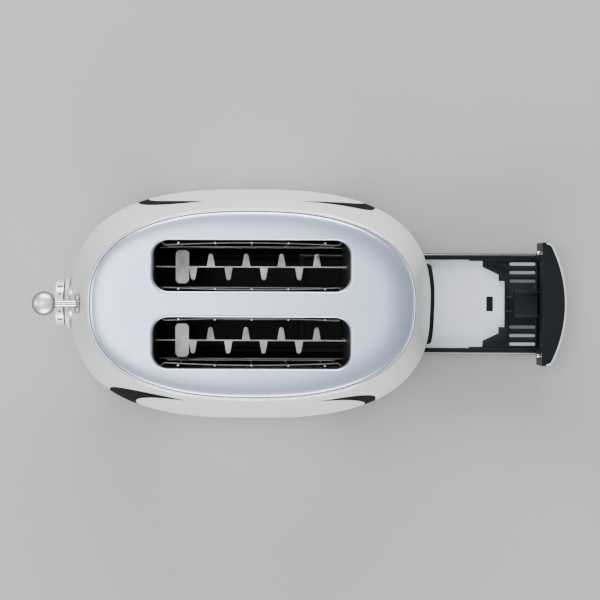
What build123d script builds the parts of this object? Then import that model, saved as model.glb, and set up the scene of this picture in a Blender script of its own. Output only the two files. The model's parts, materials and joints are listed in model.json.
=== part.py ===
from build123d import *
from math import asin, copysign, cos, degrees, pi, radians, sin
import os

# Two-slice toaster with a ball lever and a dial at the front end and a crumb tray, drawn out,
# at the rear end. Millimetres. X runs along the toaster with the front at -X, Z is up from the
# bench, and the origin is on the bench under the middle of the body.

# Outer shell: a superellipse in plan whose shoulder rises to the top rim
rim_half_length = 136.0
rim_half_width = 78.7
rim_roundness = 2.45
belly_roundness = 2.7
shoulder_reach = 21.9
shoulder_power = 1.25
rim_z = 193.0
belly_z = 88.0
skirt_z = 14.0
skirt_draw = 5.0
shell_wall = 1.2
ledge_width = 6.0
ledge_drop = 1.8
outline_points = 32
skirt_heights = (4.0, 32.0, 60.0)
shoulder_turns = (0, 22, 44, 62, 77, 90)

# Bright bead and top panel
bead_groove = 0.4
bead_width = 1.2
bead_rise = 1.0
bead_round = 0.5
panel_gap = 0.4
panel_crown = 3.0
panel_roll = 11.0
panel_skin = 1.4

# Bread slots
slot_length = 164.0
slot_width = 42.5
slot_pitch = 64.0
slot_corner = 13.0
lip_wall = 1.2
lip_depth = 12.0
lip_round = 2.2

# Base moulding and feet
plinth_z = 5.0
plinth_floor = 3.0
plinth_wall = 2.5
plinth_inset = 5.0
plinth_flange = 3.0
plinth_upstand = 8.0
plinth_shadow = 0.6
seat_gap = 0.3
foot_radius = 10.0
foot_x = 108.0
foot_y = 58.0
foot_peg_radius = 4.0
vent_length = 46.0
vent_width = 4.0
vent_x = 29.0
vent_rows = (4.5, 70.0)

# Toasting chamber
chamber_half_length = 83.0
sheet = 1.0
bulkhead_half_width = 66.0
bulkhead_foot = 10.0
chamber_gap = 0.3
reflector_y = 62.0
reflector_z = 31.0
heater_y = 57.0
heater_board = 1.0
heater_z = 48.0
heater_height = 128.0
ribbon_width = 1.6
ribbon_thickness = 0.3
ribbon_pitch = 12.5
ribbon_turns = 12

# Bread guides: wire cages on each side of each slot
guide_offset = 18.0
guide_wire = 0.8
guide_pivot_z = 42.0
guide_height = 134.0
guide_bow_z = 150.0
guide_low_z = 84.0
guide_bow = 2.0
guide_pitch = 30.7
guide_half_length = 74.0
guide_hook = 5.0
guide_weld = 1.2
fit = 0.05

# Carriage: the lever, its sliding bracket and the two bread racks
rack_z = 106.0
lever_travel = 46.0
rack_height = 14.0
rack_sheet = 1.0
rack_tail = 3.0
tooth_first_x = -50.6
tooth_pitch = 15.4
tooth_count = 8
tooth_base = 7.2
tooth_tip = 3.9
tooth_length = 11.7
strip_x = -60.0
strip_width = 11.7
strip_length = 29.0
strip_corner = 3.0
slit_length = 2.4
slit_width = 0.8
slit_turn = 20
slit_offsets = (-2, 3)
bracket_x = -93.5
bracket_sheet = 1.5
bracket_half_width = 36.0
guide_rod_x = -99.0
guide_rod_radius = 2.5
hub_radius = 5.5
hub_height = 22.0
arm_half_width = 7.0
lever_z = 160.0
lever_rod_radius = 2.6
lever_ball_x = -175.2
lever_ball_radius = 10.25
lever_ball_bore = 7.0
lever_slot_gap = 0.5
shield_radius = 8.25
shield_sheet = 2.0
shield_round = 0.7
shield_tilt = 12.0
shield_gap = 0.8
spring_radius = 4.1
spring_wire = 0.9

# Browning dial and its bezel, timer, switches and control board
dial_z = 66.0
dial_radius = 20.0
dial_front_x = -175.0
dial_depth = 9.2
dial_dome = 1.2
dial_round = 1.5
dial_wall = 2.0
dial_gap = 1.2
dial_shaft_radius = 3.0
bezel_front_radius = 21.8
bezel_back_radius = 22.9
bezel_depth = 3.8
bezel_wall = 1.5
bezel_hub_radius = 15.0
bezel_hub_length = 8.8
board_x = -141.6
board_sheet = 1.6
board_half_width = 34.0
board_z = 24.0
board_height = 70.0
board_post = 7.0
board_groove = 5.0
timer_radius = 12.0
timer_depth = 8.0
magnet_half_width = 9.0
magnet_depth = 13.0
magnet_foot = 5.0
magnet_leg = 4.0
magnet_z = 28.0
armature_sheet = 2.0
contact_y = 21.0
contact_width = 12.0
contact_height = 16.0
contact_corner = 1.0

# Push buttons under the dial
button_radius = 4.5
button_z = 31.0
button_pitch = 24.0
button_proud = 1.9
button_travel = 1.5
button_gap = 0.3
button_dome = 0.7
button_flange = 1.2
button_stem_radius = 2.0
switch_height = 3.0
switch_width = 4.4
switch_corner = 0.8

# Crumb tray, drawn out from its closed place
tray_drawn = 122.0
tray_back_x = -78.0
tray_half_width = 46.0
tray_z = 12.0
tray_height = 15.0
tray_floor_z = 20.0
tray_floor = 2.2
tray_side = 5.6
rail_bevel = 1.5
tray_gap = 1.6
plate_back_x = -37.0
plate_sheet = 0.8
catch_x = 96.4
catch_length = 6.2
catch_width = 13.5
deck_sheet = 2.5
deck_edge = (
    (-61.9, 39.2),
    (-49.5, 39.2),
    (-49.5, 33.7),
    (-34.9, 26.7),
    (-34.9, 21.0),
    (-29.5, 21.0),
)
deck_fit = 0.2
front_face_x = 140.9
front_half_width = 55.7
front_end_depth = 8.2
front_depth = 22.2
front_corner = 7.0
front_skin_back = 4.0
front_height = 34.0
front_skin = 1.5
front_wall = 2.5
pin_y = 46.5
pin_z = 38.0
pin_radius = 1.7
pin_length = 3.6
latch_half_width = 12.4
latch_length = 21.3
latch_height = 5.5
latch_lid_drop = 1.5
latch_rib = 2.0
prong_y = 6.5
prong_length = 9.1
prong_width = 1.0
tray_vent_length = 24.1
tray_vent_end = 1.3
tray_vent_width = 3.0
tray_vent_pitch = 7.8
tray_vent_first_y = 20.9

# Rear recess and the band above it
recess_gap = 1.0
rear_panel_sheet = 3.4
rear_panel_height = 38.3
band_proud = 6.5
band_half_width = 36.0
band_height = 13.0
band_round = 3.5

# Cord outlet and screws
outlet_x = 70.0
outlet_y = 76.0
outlet_radius = 5.0
outlet_bore_radius = 3.5
screw_radius = 1.5
screw_head_radius = 3.4
screw_head = 2.0
screw_y = 57.0

# Black horn inlays on the shoulder, seen from the side: each runs from a sharp tip past a
# kink in the end of the shell and the nose of the side panel, and widens down to the skirt
horn_outlines = {
    "front_left": {
        "side": 1,
        "tip": (-39.5, 164.0),
        "outer": [(-74.0, 153.5), (-95.0, 119.0), (-100.5, 88.5), (-105.0, 60.0)],
        "inner": [(-68.0, 143.0), (-85.0, 117.0), (-90.0, 88.5), (-84.0, 60.0)],
        "foot": (-110.0, -68.0),
    },
    "rear_left": {
        "side": 1,
        "tip": (37.5, 162.5),
        "outer": [(71.5, 154.0), (95.5, 139.0), (109.0, 88.5), (111.0, 60.0)],
        "inner": [(68.0, 145.0), (89.0, 120.0), (99.0, 88.5), (91.0, 60.0)],
        "foot": (114.0, 73.0),
    },
    "front_right": {
        "side": -1,
        "tip": (-53.0, 180.0),
        "outer": [(-85.0, 176.5), (-114.5, 141.5), (-123.5, 89.5), (-122.0, 60.0)],
        "inner": [(-77.5, 168.5), (-94.5, 141.0), (-98.0, 94.0), (-87.0, 60.0)],
        "foot": (-119.0, -68.0),
    },
    "rear_right": {
        "side": -1,
        "tip": (56.5, 178.0),
        "outer": [(80.5, 172.0), (101.5, 145.0), (109.0, 89.0), (109.0, 60.0)],
        "inner": [(77.5, 163.5), (93.5, 133.5), (98.5, 89.0), (88.0, 60.0)],
        "foot": (110.0, 68.0),
    },
}

# Places worked out from the sizes above
panel_inset = bead_groove + bead_width + panel_gap
panel_top_z = rim_z + panel_crown
lip_z = panel_top_z - lip_depth
ledge_z = rim_z - ledge_drop
skirt_reach = shoulder_reach - skirt_draw
floor_z = plinth_z + plinth_floor
flange_z = skirt_z - plinth_flange
slot_y = slot_pitch / 2
rack_low_z = rack_z - rack_height
bulkhead_top_z = lip_z - chamber_gap
plate_z = tray_floor_z + tray_floor
deck_z = plate_z + plate_sheet
tray_front_end_x = front_face_x - tray_gap
arm_x = guide_rod_x - hub_radius - bracket_sheet - 0.5
hub_z = rack_low_z + 3
armature_z = hub_z + 3
magnet_top_z = armature_z - lever_travel - seat_gap
dial_back_x = dial_front_x + dial_depth
bezel_front_x = dial_back_x + dial_gap
board_back_x = board_x + board_sheet
recess_half_width = front_half_width + recess_gap
recess_top_z = tray_z + front_height + recess_gap
drawn = Location((tray_drawn, 0, 0))

os.makedirs("parts", exist_ok=True)


def oval(half_length, half_width, roundness, z):
    """Superellipse face at height z, drawn as one closed curve."""
    points = []
    for step in range(outline_points):
        turn = 2 * pi * step / outline_points
        x = half_length * copysign(abs(cos(turn)) ** (2 / roundness), cos(turn))
        y = half_width * copysign(abs(sin(turn)) ** (2 / roundness), sin(turn))
        points.append((x, y))
    with BuildSketch(Plane.XY.offset(z)) as face:
        with BuildLine():
            Spline(*points, periodic=True)
        make_face()
    return face.sketch


def shoulder_section(turn, wall, sink):
    """Size, roundness and height of the shell at one turn, 0 at the belly and 90 at the rim."""
    spread = abs(cos(radians(turn))) ** (2 / shoulder_power)
    climb = sin(radians(turn)) ** (2 / shoulder_power)
    reach = (shoulder_reach - wall) * spread
    roundness = rim_roundness + (belly_roundness - rim_roundness) * spread
    height = belly_z + (rim_z - sink - belly_z) * climb
    return rim_half_length + reach, rim_half_width + reach, roundness, height


def skirt_section(z, wall):
    """Size and roundness of the shell at height z below the belly."""
    drop = (belly_z - z) / (belly_z - skirt_z)
    reach = shoulder_reach - wall - skirt_draw * drop**2
    return rim_half_length + reach, rim_half_width + reach, belly_roundness, z


def shell_solid(wall, sink, foot_z):
    """Solid inside the shell's outer surface less a wall, cut off flat at its foot."""
    sizes = [skirt_section(z, wall) for z in skirt_heights]
    for turn in shoulder_turns:
        sizes.append(shoulder_section(turn, wall, sink))
    with BuildPart() as solid:
        loft([oval(*size) for size in sizes])
        split(bisect_by=Plane.XY.offset(foot_z), keep=Keep.TOP)
    return solid.part


def rim_oval(inset, z):
    """Oval of the top rim, drawn in by an inset."""
    return oval(rim_half_length - inset, rim_half_width - inset, rim_roundness, z)


def skirt_oval(inset, z):
    """Oval of the shell's bottom edge, drawn in by an inset."""
    reach = skirt_reach - inset
    return oval(rim_half_length + reach, rim_half_width + reach, belly_roundness, z)


def end_wall_x(y, z, wall=0.0):
    """Distance of the shell's end wall from the middle at a height on or below the belly."""
    half_length, half_width, roundness, _ = skirt_section(z, wall)
    return half_length * (1 - (abs(y) / half_width) ** roundness) ** (1 / roundness)


def horn_prism(outline):
    """Bar along Y with the outline of one horn, on its own side of the toaster."""
    foot_z = skirt_z - plinth_flange
    outer_foot, inner_foot = outline["foot"]
    near_y = outline["side"] * rim_half_width / 4
    with BuildPart() as prism:
        with BuildSketch(Plane.XZ.offset(-near_y)):
            with BuildLine():
                Spline(outline["tip"], *outline["outer"], (outer_foot, foot_z))
                Line((outer_foot, foot_z), (inner_foot, foot_z))
                Spline((inner_foot, foot_z), *reversed(outline["inner"]), outline["tip"])
            make_face()
        extrude(amount=-outline["side"] * (rim_half_width + 2 * shoulder_reach))
    return prism.part


horns = {name: horn_prism(outline) for name, outline in horn_outlines.items()}


# Outer shell: pressed steel, with a ledge inside the rim for the bead and the panel
shell_hull = shell_solid(0, 0, skirt_z)
with BuildPart() as outer_shell:
    add(shell_hull)
    add(shell_solid(shell_wall, ledge_drop + shell_wall, skirt_z - 2), mode=Mode.SUBTRACT)
    extrude(rim_oval(ledge_width, ledge_z - 3 * shell_wall), amount=2 * rim_z, mode=Mode.SUBTRACT)
    extrude(rim_oval(0, ledge_z), amount=rim_z, mode=Mode.SUBTRACT)
    for horn in horns.values():
        add(horn, mode=Mode.SUBTRACT)
    # slot for the lever rod
    lever_slot_radius = lever_rod_radius + lever_slot_gap
    with BuildSketch(Plane.YZ.offset(-rim_half_length)):
        with Locations((0, lever_z - lever_travel / 2)):
            SlotCenterToCenter(lever_travel, 2 * lever_slot_radius, rotation=90)
    extrude(amount=-2 * shoulder_reach, mode=Mode.SUBTRACT)
    # round holes for the bezel and the buttons
    with BuildSketch(Plane.YZ.offset(-rim_half_length)):
        with Locations((0, dial_z)):
            Circle(bezel_hub_radius + fit)
        with Locations(*[(step * button_pitch, button_z) for step in (-1, 0, 1)]):
            Circle(button_radius + button_gap)
    extrude(amount=-2 * shoulder_reach, mode=Mode.SUBTRACT)
    # recess at the rear end for the tray front
    with BuildSketch(Plane.YZ.offset(end_wall_x(recess_half_width, skirt_z) / 2)):
        with Locations((0, (recess_top_z + skirt_z - plinth_flange) / 2)):
            Rectangle(2 * recess_half_width, recess_top_z - skirt_z + plinth_flange)
    extrude(amount=2 * rim_half_length, mode=Mode.SUBTRACT)
outer_shell.part.label = "outer_shell"
export_step(outer_shell.part, "parts/outer_shell.step")

# Horn inlays: gloss black pieces that fill the horns flush with the shell
horn_thickness = 2 * shell_wall
horn_core = shell_solid(horn_thickness, horn_thickness, skirt_z - 2)
for name, horn in horns.items():
    with BuildPart() as inlay:
        add(horn)
        add(shell_hull, mode=Mode.INTERSECT)
        add(horn_core, mode=Mode.SUBTRACT)
    inlay.part.label = f"horn_inlay_{name}"
    export_step(inlay.part, f"parts/horn_inlay_{name}.step")

# Bright bead between shell and panel
with BuildPart() as trim_bead:
    extrude(rim_oval(bead_groove, ledge_z), amount=ledge_drop + bead_rise)
    inner_inset = bead_groove + bead_width
    extrude(rim_oval(inner_inset, ledge_z), amount=ledge_drop + bead_rise, mode=Mode.SUBTRACT)
    fillet(trim_bead.faces().sort_by(Axis.Z)[-1].edges(), bead_round)
trim_bead.part.label = "trim_bead"
export_step(trim_bead.part, "parts/trim_bead.step")


def panel_sections(skin):
    """Faces of the top panel's rolled edge, from its upright rim to its flat top."""
    faces = []
    for turn in (0, 30, 60, 90):
        roll = panel_roll * (1 - cos(radians(turn)))
        rise = (panel_crown - skin) * sin(radians(turn))
        faces.append(rim_oval(panel_inset + skin + roll, rim_z + rise))
    return faces


def slot_faces(grow, z):
    """The two bread slots, grown by a margin, as sketches at height z."""
    with BuildSketch(Plane.XY.offset(z)) as slots:
        with Locations((0, slot_y), (0, -slot_y)):
            RectangleRounded(slot_length + 2 * grow, slot_width + 2 * grow, slot_corner + grow)
    return slots.sketch


# Top panel: crowned sheet with a rolled edge and turned-down lips round the slots
with BuildPart() as top_panel:
    loft(panel_sections(0))
    extrude(rim_oval(panel_inset, ledge_z), amount=ledge_drop)
    loft(panel_sections(panel_skin), mode=Mode.SUBTRACT)
    inner_inset = panel_inset + panel_skin
    extrude(rim_oval(inner_inset, ledge_z), amount=ledge_drop, mode=Mode.SUBTRACT)
    extrude(slot_faces(lip_wall, lip_z), amount=lip_depth - panel_skin / 2)
    extrude(slot_faces(0, lip_z), amount=2 * lip_depth, mode=Mode.SUBTRACT)
    slot_edges = top_panel.faces().sort_by(Axis.Z)[-1].inner_wires().edges()
    fillet(slot_edges, lip_round)
top_panel.part.label = "top_panel"
export_step(top_panel.part, "parts/top_panel.step")

# Base moulding: floor, foot wall, flange under the shell and an upstand inside it
with BuildPart() as plinth:
    extrude(skirt_oval(plinth_inset, plinth_z), amount=flange_z - plinth_z)
    fillet(plinth.faces().sort_by(Axis.Z)[0].edges(), plinth_floor / 2)
    extrude(skirt_oval(plinth_shadow, flange_z), amount=plinth_flange)
    upstand_inset = shell_wall + seat_gap
    extrude(skirt_oval(upstand_inset, skirt_z), amount=plinth_upstand)
    low_inset = plinth_inset + plinth_wall
    extrude(skirt_oval(low_inset, floor_z), amount=2 * skirt_z, mode=Mode.SUBTRACT)
    high_inset = upstand_inset + plinth_wall
    high_z = flange_z + plinth_flange / 2
    extrude(skirt_oval(high_inset, high_z), amount=2 * skirt_z, mode=Mode.SUBTRACT)
    # way out for the tray and its front
    with BuildSketch(Plane.XY.offset(tray_z - seat_gap)):
        with Locations((rim_half_length, 0)):
            Rectangle(rim_half_length, 2 * recess_half_width)
    extrude(amount=2 * skirt_z, mode=Mode.SUBTRACT)
    # runners that the tray slides on, with a fence outside each
    with BuildSketch(Plane.XY.offset(floor_z)):
        runner_end_x = front_face_x - rear_panel_sheet - seat_gap
        runner_start_x = -chamber_half_length
        runner_length = runner_end_x - runner_start_x
        runner_x = (runner_end_x + runner_start_x) / 2
        for side in (1, -1):
            with Locations((runner_x, side * (tray_half_width - tray_side / 2))):
                Rectangle(runner_length, tray_side)
    extrude(amount=tray_z - seat_gap - floor_z)
    with BuildSketch(Plane.XY.offset(floor_z)):
        fence_y = tray_half_width + deck_fit + plinth_wall / 2
        for side in (1, -1):
            with Locations((0, side * fence_y)):
                Rectangle(2 * chamber_half_length - 2 * chamber_gap, plinth_wall)
    extrude(amount=tray_height)
    # grooved posts that hold the control board
    with BuildSketch(Plane.XY.offset(floor_z)):
        post_y = board_half_width - board_post / 2
        with Locations((board_x + board_sheet / 2, post_y), (board_x + board_sheet / 2, -post_y)):
            Rectangle(board_post, board_post)
    extrude(amount=board_z + board_groove - floor_z)
    with BuildSketch(Plane.XY.offset(board_z - fit)):
        with Locations((board_x + board_sheet / 2, 0)):
            Rectangle(board_sheet + 2 * fit, 2 * board_half_width)
    extrude(amount=2 * board_groove, mode=Mode.SUBTRACT)
    # boss at the foot of the carriage's guide rod
    with BuildSketch(Plane.XY.offset(floor_z)):
        with Locations((guide_rod_x, 0)):
            Circle(guide_rod_radius + plinth_wall)
    extrude(amount=board_z - floor_z)
    with Locations((guide_rod_x, 0, board_z)):
        Hole(guide_rod_radius + fit, board_z - floor_z)
    # holes for feet, cord outlet and screws, and cooling slots in the floor
    with Locations(*[(x, y, floor_z) for x in (-foot_x, foot_x) for y in (-foot_y, foot_y)]):
        Hole(foot_peg_radius + fit, plinth_floor)
    with Locations((outlet_x, outlet_y, floor_z)):
        Hole(outlet_radius + fit, plinth_floor)
    screw_x = chamber_half_length + sheet + bulkhead_foot / 2
    with Locations(*[(x, y, floor_z) for x in (-screw_x, screw_x) for y in (-screw_y, screw_y)]):
        Hole(screw_radius + fit, plinth_floor)
    with BuildSketch(Plane.XY.offset(plinth_z)):
        for row_y in vent_rows:
            with GridLocations(2 * vent_x, 2 * row_y, 2, 2):
                SlotOverall(vent_length, vent_width)
    extrude(amount=plinth_floor, mode=Mode.SUBTRACT)
plinth.part.label = "plinth"
export_step(plinth.part, "parts/plinth.step")

# Rubber feet, each with a peg that snaps through the base moulding
with BuildPart() as feet:
    with BuildSketch(Plane.XZ) as foot_profile:
        with BuildLine():
            head_radius = foot_peg_radius + 1
            Polyline(
                (0, 0),
                (foot_radius - 1.5, 0),
                (foot_radius, 1.5),
                (foot_radius - 0.5, plinth_z),
                (foot_peg_radius, plinth_z),
                (foot_peg_radius, floor_z + fit),
                (head_radius, floor_z + fit),
                (foot_peg_radius - 1, floor_z + 2.5),
                (0, floor_z + 2.5),
                close=True,
            )
        make_face()
    one_foot = revolve(axis=Axis.Z, mode=Mode.PRIVATE)
    with Locations(*[(x, y) for x in (-foot_x, foot_x) for y in (-foot_y, foot_y)]):
        add(one_foot)
feet.part.label = "feet"
export_step(feet.part, "parts/feet.step")

# Screws that hold the bulkheads to the base moulding
with BuildPart() as base_screws:
    with Locations(*[(x, y) for x in (-screw_x, screw_x) for y in (-screw_y, screw_y)]):
        Cylinder(
            screw_head_radius,
            screw_head,
            align=(Align.CENTER, Align.CENTER, Align.MAX),
            mode=Mode.ADD,
        )
        Cylinder(screw_radius, plinth_floor + 4, align=(Align.CENTER, Align.CENTER, Align.MIN))
base_screws.part.label = "base_screws"
base_screws_placed = base_screws.part.moved(Location((0, 0, plinth_z)))
base_screws_placed.label = "base_screws"
export_step(base_screws_placed, "parts/base_screws.step")

# Cord outlet: a round bushing through the base moulding
with BuildPart() as cord_outlet:
    with BuildSketch(Plane.XZ):
        with BuildLine():
            Polyline(
                (outlet_bore_radius, plinth_z - 1.5),
                (outlet_radius + 2, plinth_z - 1.5),
                (outlet_radius + 2, plinth_z),
                (outlet_radius, plinth_z),
                (outlet_radius, floor_z),
                (outlet_radius + 1.2, floor_z),
                (outlet_radius, floor_z + 1.5),
                (outlet_bore_radius, floor_z + 1.5),
                close=True,
            )
        make_face()
    revolve(axis=Axis.Z)
cord_outlet_placed = cord_outlet.part.moved(Location((outlet_x, outlet_y, 0)))
cord_outlet_placed.label = "cord_outlet"
export_step(cord_outlet_placed, "parts/cord_outlet.step")


def bulkhead(end):
    """End wall of the toasting chamber, at the front (-1) or the rear (1)."""
    low_z = rack_low_z - lever_travel - seat_gap
    inner_x = end * chamber_half_length
    with BuildPart() as wall:
        with BuildSketch(Plane.YZ.offset(inner_x)):
            with Locations((0, (bulkhead_top_z + floor_z) / 2)):
                Rectangle(2 * bulkhead_half_width, bulkhead_top_z - floor_z)
            # slots that the racks run in
            with Locations((slot_y, (low_z + rack_z) / 2), (-slot_y, (low_z + rack_z) / 2)):
                Rectangle(3 * rack_sheet, rack_z - low_z + 1, mode=Mode.SUBTRACT)
            # pivot holes of the bread guides
            with Locations(*[(y, guide_pivot_z) for y in guide_places]):
                Circle(guide_wire + fit, mode=Mode.SUBTRACT)
            # way through for the tray under the chamber
            if end > 0:
                with Locations((0, floor_z + tray_height / 2 + 3)):
                    way = 2 * (tray_half_width + deck_fit)
                    Rectangle(way, tray_height + 6, mode=Mode.SUBTRACT)
        extrude(amount=end * sheet)
        # foot that is screwed to the base moulding
        foot_middle_x = inner_x + end * (sheet + bulkhead_foot) / 2
        with BuildSketch(Plane.XY.offset(floor_z)):
            with Locations((foot_middle_x, screw_y), (foot_middle_x, -screw_y)):
                Rectangle(sheet + bulkhead_foot, 2 * (bulkhead_half_width - screw_y) - 4)
            with Locations((end * screw_x, screw_y), (end * screw_x, -screw_y)):
                Circle(screw_radius + fit, mode=Mode.SUBTRACT)
        extrude(amount=sheet)
        if end < 0:
            # tab that holds the top of the carriage's guide rod
            tab_length = abs(guide_rod_x - inner_x) + 2 * guide_rod_radius
            with BuildSketch(Plane.XY.offset(bulkhead_top_z - sheet)):
                with Locations((inner_x - tab_length / 2, 0)):
                    Rectangle(tab_length, 4 * guide_rod_radius)
                with Locations((guide_rod_x, 0)):
                    Circle(guide_rod_radius + fit, mode=Mode.SUBTRACT)
            extrude(amount=sheet)
    return wall


guide_places = [slot + side * guide_offset for slot in (slot_y, -slot_y) for side in (1, -1)]

front_bulkhead = bulkhead(-1)
front_bulkhead.part.label = "front_bulkhead"
export_step(front_bulkhead.part, "parts/front_bulkhead.step")

rear_bulkhead = bulkhead(1)
rear_bulkhead.part.label = "rear_bulkhead"
export_step(rear_bulkhead.part, "parts/rear_bulkhead.step")

# Side reflectors of the toasting chamber, stiffened by two pressed ribs
for side, name in ((1, "left"), (-1, "right")):
    with BuildPart() as reflector:
        with BuildSketch(Plane.XZ.offset(-side * reflector_y)):
            with Locations((0, (reflector_z + bulkhead_top_z) / 2)):
                Rectangle(2 * chamber_half_length, bulkhead_top_z - reflector_z)
        extrude(amount=-side * sheet)
        with BuildSketch(Plane.XZ.offset(-side * (reflector_y + sheet))):
            with Locations((0, reflector_z + 30), (0, bulkhead_top_z - 30)):
                SlotOverall(1.6 * chamber_half_length, 6)
        extrude(amount=-side * sheet)
    reflector.part.label = f"side_reflector_{name}"
    export_step(reflector.part, f"parts/side_reflector_{name}.step")

# Heater boards of mica with resistance ribbon wound round them
for y, name in ((heater_y, "left"), (0, "centre"), (-heater_y, "right")):
    with BuildPart() as board:
        with BuildSketch(Plane.XZ.offset(-y)):
            with Locations((0, heater_z + heater_height / 2)):
                Rectangle(2 * chamber_half_length, heater_height)
        extrude(amount=heater_board / 2, both=True)
    board.part.label = f"heater_board_{name}"
    export_step(board.part, f"parts/heater_board_{name}.step")
    with BuildPart() as ribbon:
        with BuildSketch(Plane.YZ):
            with Locations((y, heater_z + heater_height / 2)):
                Rectangle(
                    heater_board + 2 * ribbon_thickness,
                    heater_height + 2 * ribbon_thickness,
                )
                Rectangle(heater_board, heater_height, mode=Mode.SUBTRACT)
        one_turn = extrude(amount=ribbon_width / 2, both=True, mode=Mode.PRIVATE)
        with GridLocations(ribbon_pitch, 1, ribbon_turns, 1):
            add(one_turn)
    ribbon.part.label = f"heater_ribbon_{name}"
    export_step(ribbon.part, f"parts/heater_ribbon_{name}.step")


def guide_cage(y, outward):
    """Wire cage beside a slot: pivot wire, five upright wires and two long wires."""
    upright_y = y + outward * guide_weld
    pivot_end = chamber_half_length + sheet + chamber_gap
    with BuildPart() as cage:
        # pivot wire in the bulkheads, and the low long wire
        for z, half_length in ((guide_pivot_z, pivot_end), (guide_low_z, guide_half_length)):
            with BuildSketch(Plane.YZ.offset(-half_length)):
                with Locations((y, z)):
                    Circle(guide_wire)
            extrude(amount=2 * half_length)
        # bowed long wire
        start = (-guide_half_length, y, guide_bow_z)
        middle = (0, y + outward * guide_bow, guide_bow_z)
        finish = (guide_half_length, y, guide_bow_z)
        with BuildLine():
            bow = ThreePointArc(start, middle, finish)
        with BuildSketch(Plane(origin=bow @ 0, z_dir=bow % 0)):
            Circle(guide_wire)
        sweep(path=bow)
        # hooks that lead its ends outwards
        for corner, end in ((start, -1), (finish, 1)):
            with Locations(corner):
                Sphere(guide_wire)
            with BuildSketch(Plane(origin=corner, z_dir=(end, outward, 0))):
                Circle(guide_wire)
            extrude(amount=guide_hook)
        # upright wires
        with BuildSketch(Plane.XY.offset(guide_pivot_z)):
            with Locations((0, upright_y)):
                with GridLocations(guide_pitch, 1, 5, 1):
                    Circle(guide_wire)
        extrude(amount=guide_height)
    return cage


for slot, slot_name in ((slot_y, "left"), (-slot_y, "right")):
    for outward, side_name in ((1, "a"), (-1, "b")):
        cage = guide_cage(slot + outward * guide_offset, outward)
        cage.part.label = f"bread_guide_{slot_name}_{side_name}"
        export_step(cage.part, f"parts/bread_guide_{slot_name}_{side_name}.step")

# Guide rod of the carriage, from its boss to the bulkhead tab
with BuildPart() as guide_rod:
    with Locations((guide_rod_x, 0, floor_z)):
        Cylinder(
            guide_rod_radius,
            bulkhead_top_z + 1 - floor_z,
            align=(Align.CENTER, Align.CENTER, Align.MIN),
        )
    chamfer(guide_rod.edges().filter_by(GeomType.CIRCLE), guide_rod_radius / 5)
guide_rod.part.label = "guide_rod"
export_step(guide_rod.part, "parts/guide_rod.step")

# Lift spring round the guide rod, as the sleeve that its coils fill
with BuildPart() as lift_spring:
    with BuildSketch(Plane.XY.offset(board_z)):
        with Locations((guide_rod_x, 0)):
            Circle(spring_radius)
            Circle(spring_radius - spring_wire, mode=Mode.SUBTRACT)
    extrude(amount=hub_z - board_z)
lift_spring.part.label = "lift_spring"
export_step(lift_spring.part, "parts/lift_spring.step")

# Carriage bracket: cross plate, hub on the guide rod, arm up to the lever and armature tab
with BuildPart() as carriage_bracket:
    with BuildSketch(Plane.YZ.offset(bracket_x)):
        with Locations((0, rack_low_z + rack_height / 2)):
            Rectangle(2 * bracket_half_width, rack_height)
    extrude(amount=bracket_sheet)
    with BuildSketch(Plane.XY.offset(hub_z)):
        with Locations((guide_rod_x, 0)):
            Circle(hub_radius)
        with Locations(((guide_rod_x + bracket_x) / 2, 0)):
            Rectangle(abs(guide_rod_x - bracket_x) + bracket_sheet, hub_radius)
        with Locations(((guide_rod_x + arm_x) / 2, 0)):
            Rectangle(abs(guide_rod_x - arm_x), hub_radius)
    extrude(amount=hub_height)
    with BuildSketch(Plane.YZ.offset(arm_x)):
        arm_low_z = hub_z
        arm_top_z = lever_z + arm_half_width
        with Locations((0, (arm_low_z + arm_top_z) / 2)):
            RectangleRounded(2 * arm_half_width, arm_top_z - arm_low_z, arm_half_width / 2)
    extrude(amount=bracket_sheet)
    with Locations((guide_rod_x, 0, hub_z + hub_height)):
        Hole(guide_rod_radius + fit, hub_height)
    with Locations(Plane((arm_x, 0, lever_z), z_dir=(-1, 0, 0))):
        Hole(lever_rod_radius / 2 + fit, 2 * bracket_sheet)
    with BuildSketch(Plane.XY.offset(armature_z + armature_sheet)):
        tab_end_x = board_back_x + magnet_depth / 3
        with Locations(((tab_end_x + arm_x) / 2, 0)):
            Rectangle(arm_x - tab_end_x, arm_half_width)
    extrude(amount=bracket_sheet)
carriage_bracket.part.label = "carriage_bracket"
export_step(carriage_bracket.part, "parts/carriage_bracket.step")

# Armature under the tab, which the magnet holds when the lever is down
with BuildPart() as armature:
    with BuildSketch(Plane.XY.offset(armature_z)):
        with Locations((board_back_x + magnet_depth / 2 + 1, 0)):
            RectangleRounded(magnet_depth, 2 * magnet_half_width, 2)
    extrude(amount=armature_sheet)
armature.part.label = "armature"
export_step(armature.part, "parts/armature.step")

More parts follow.
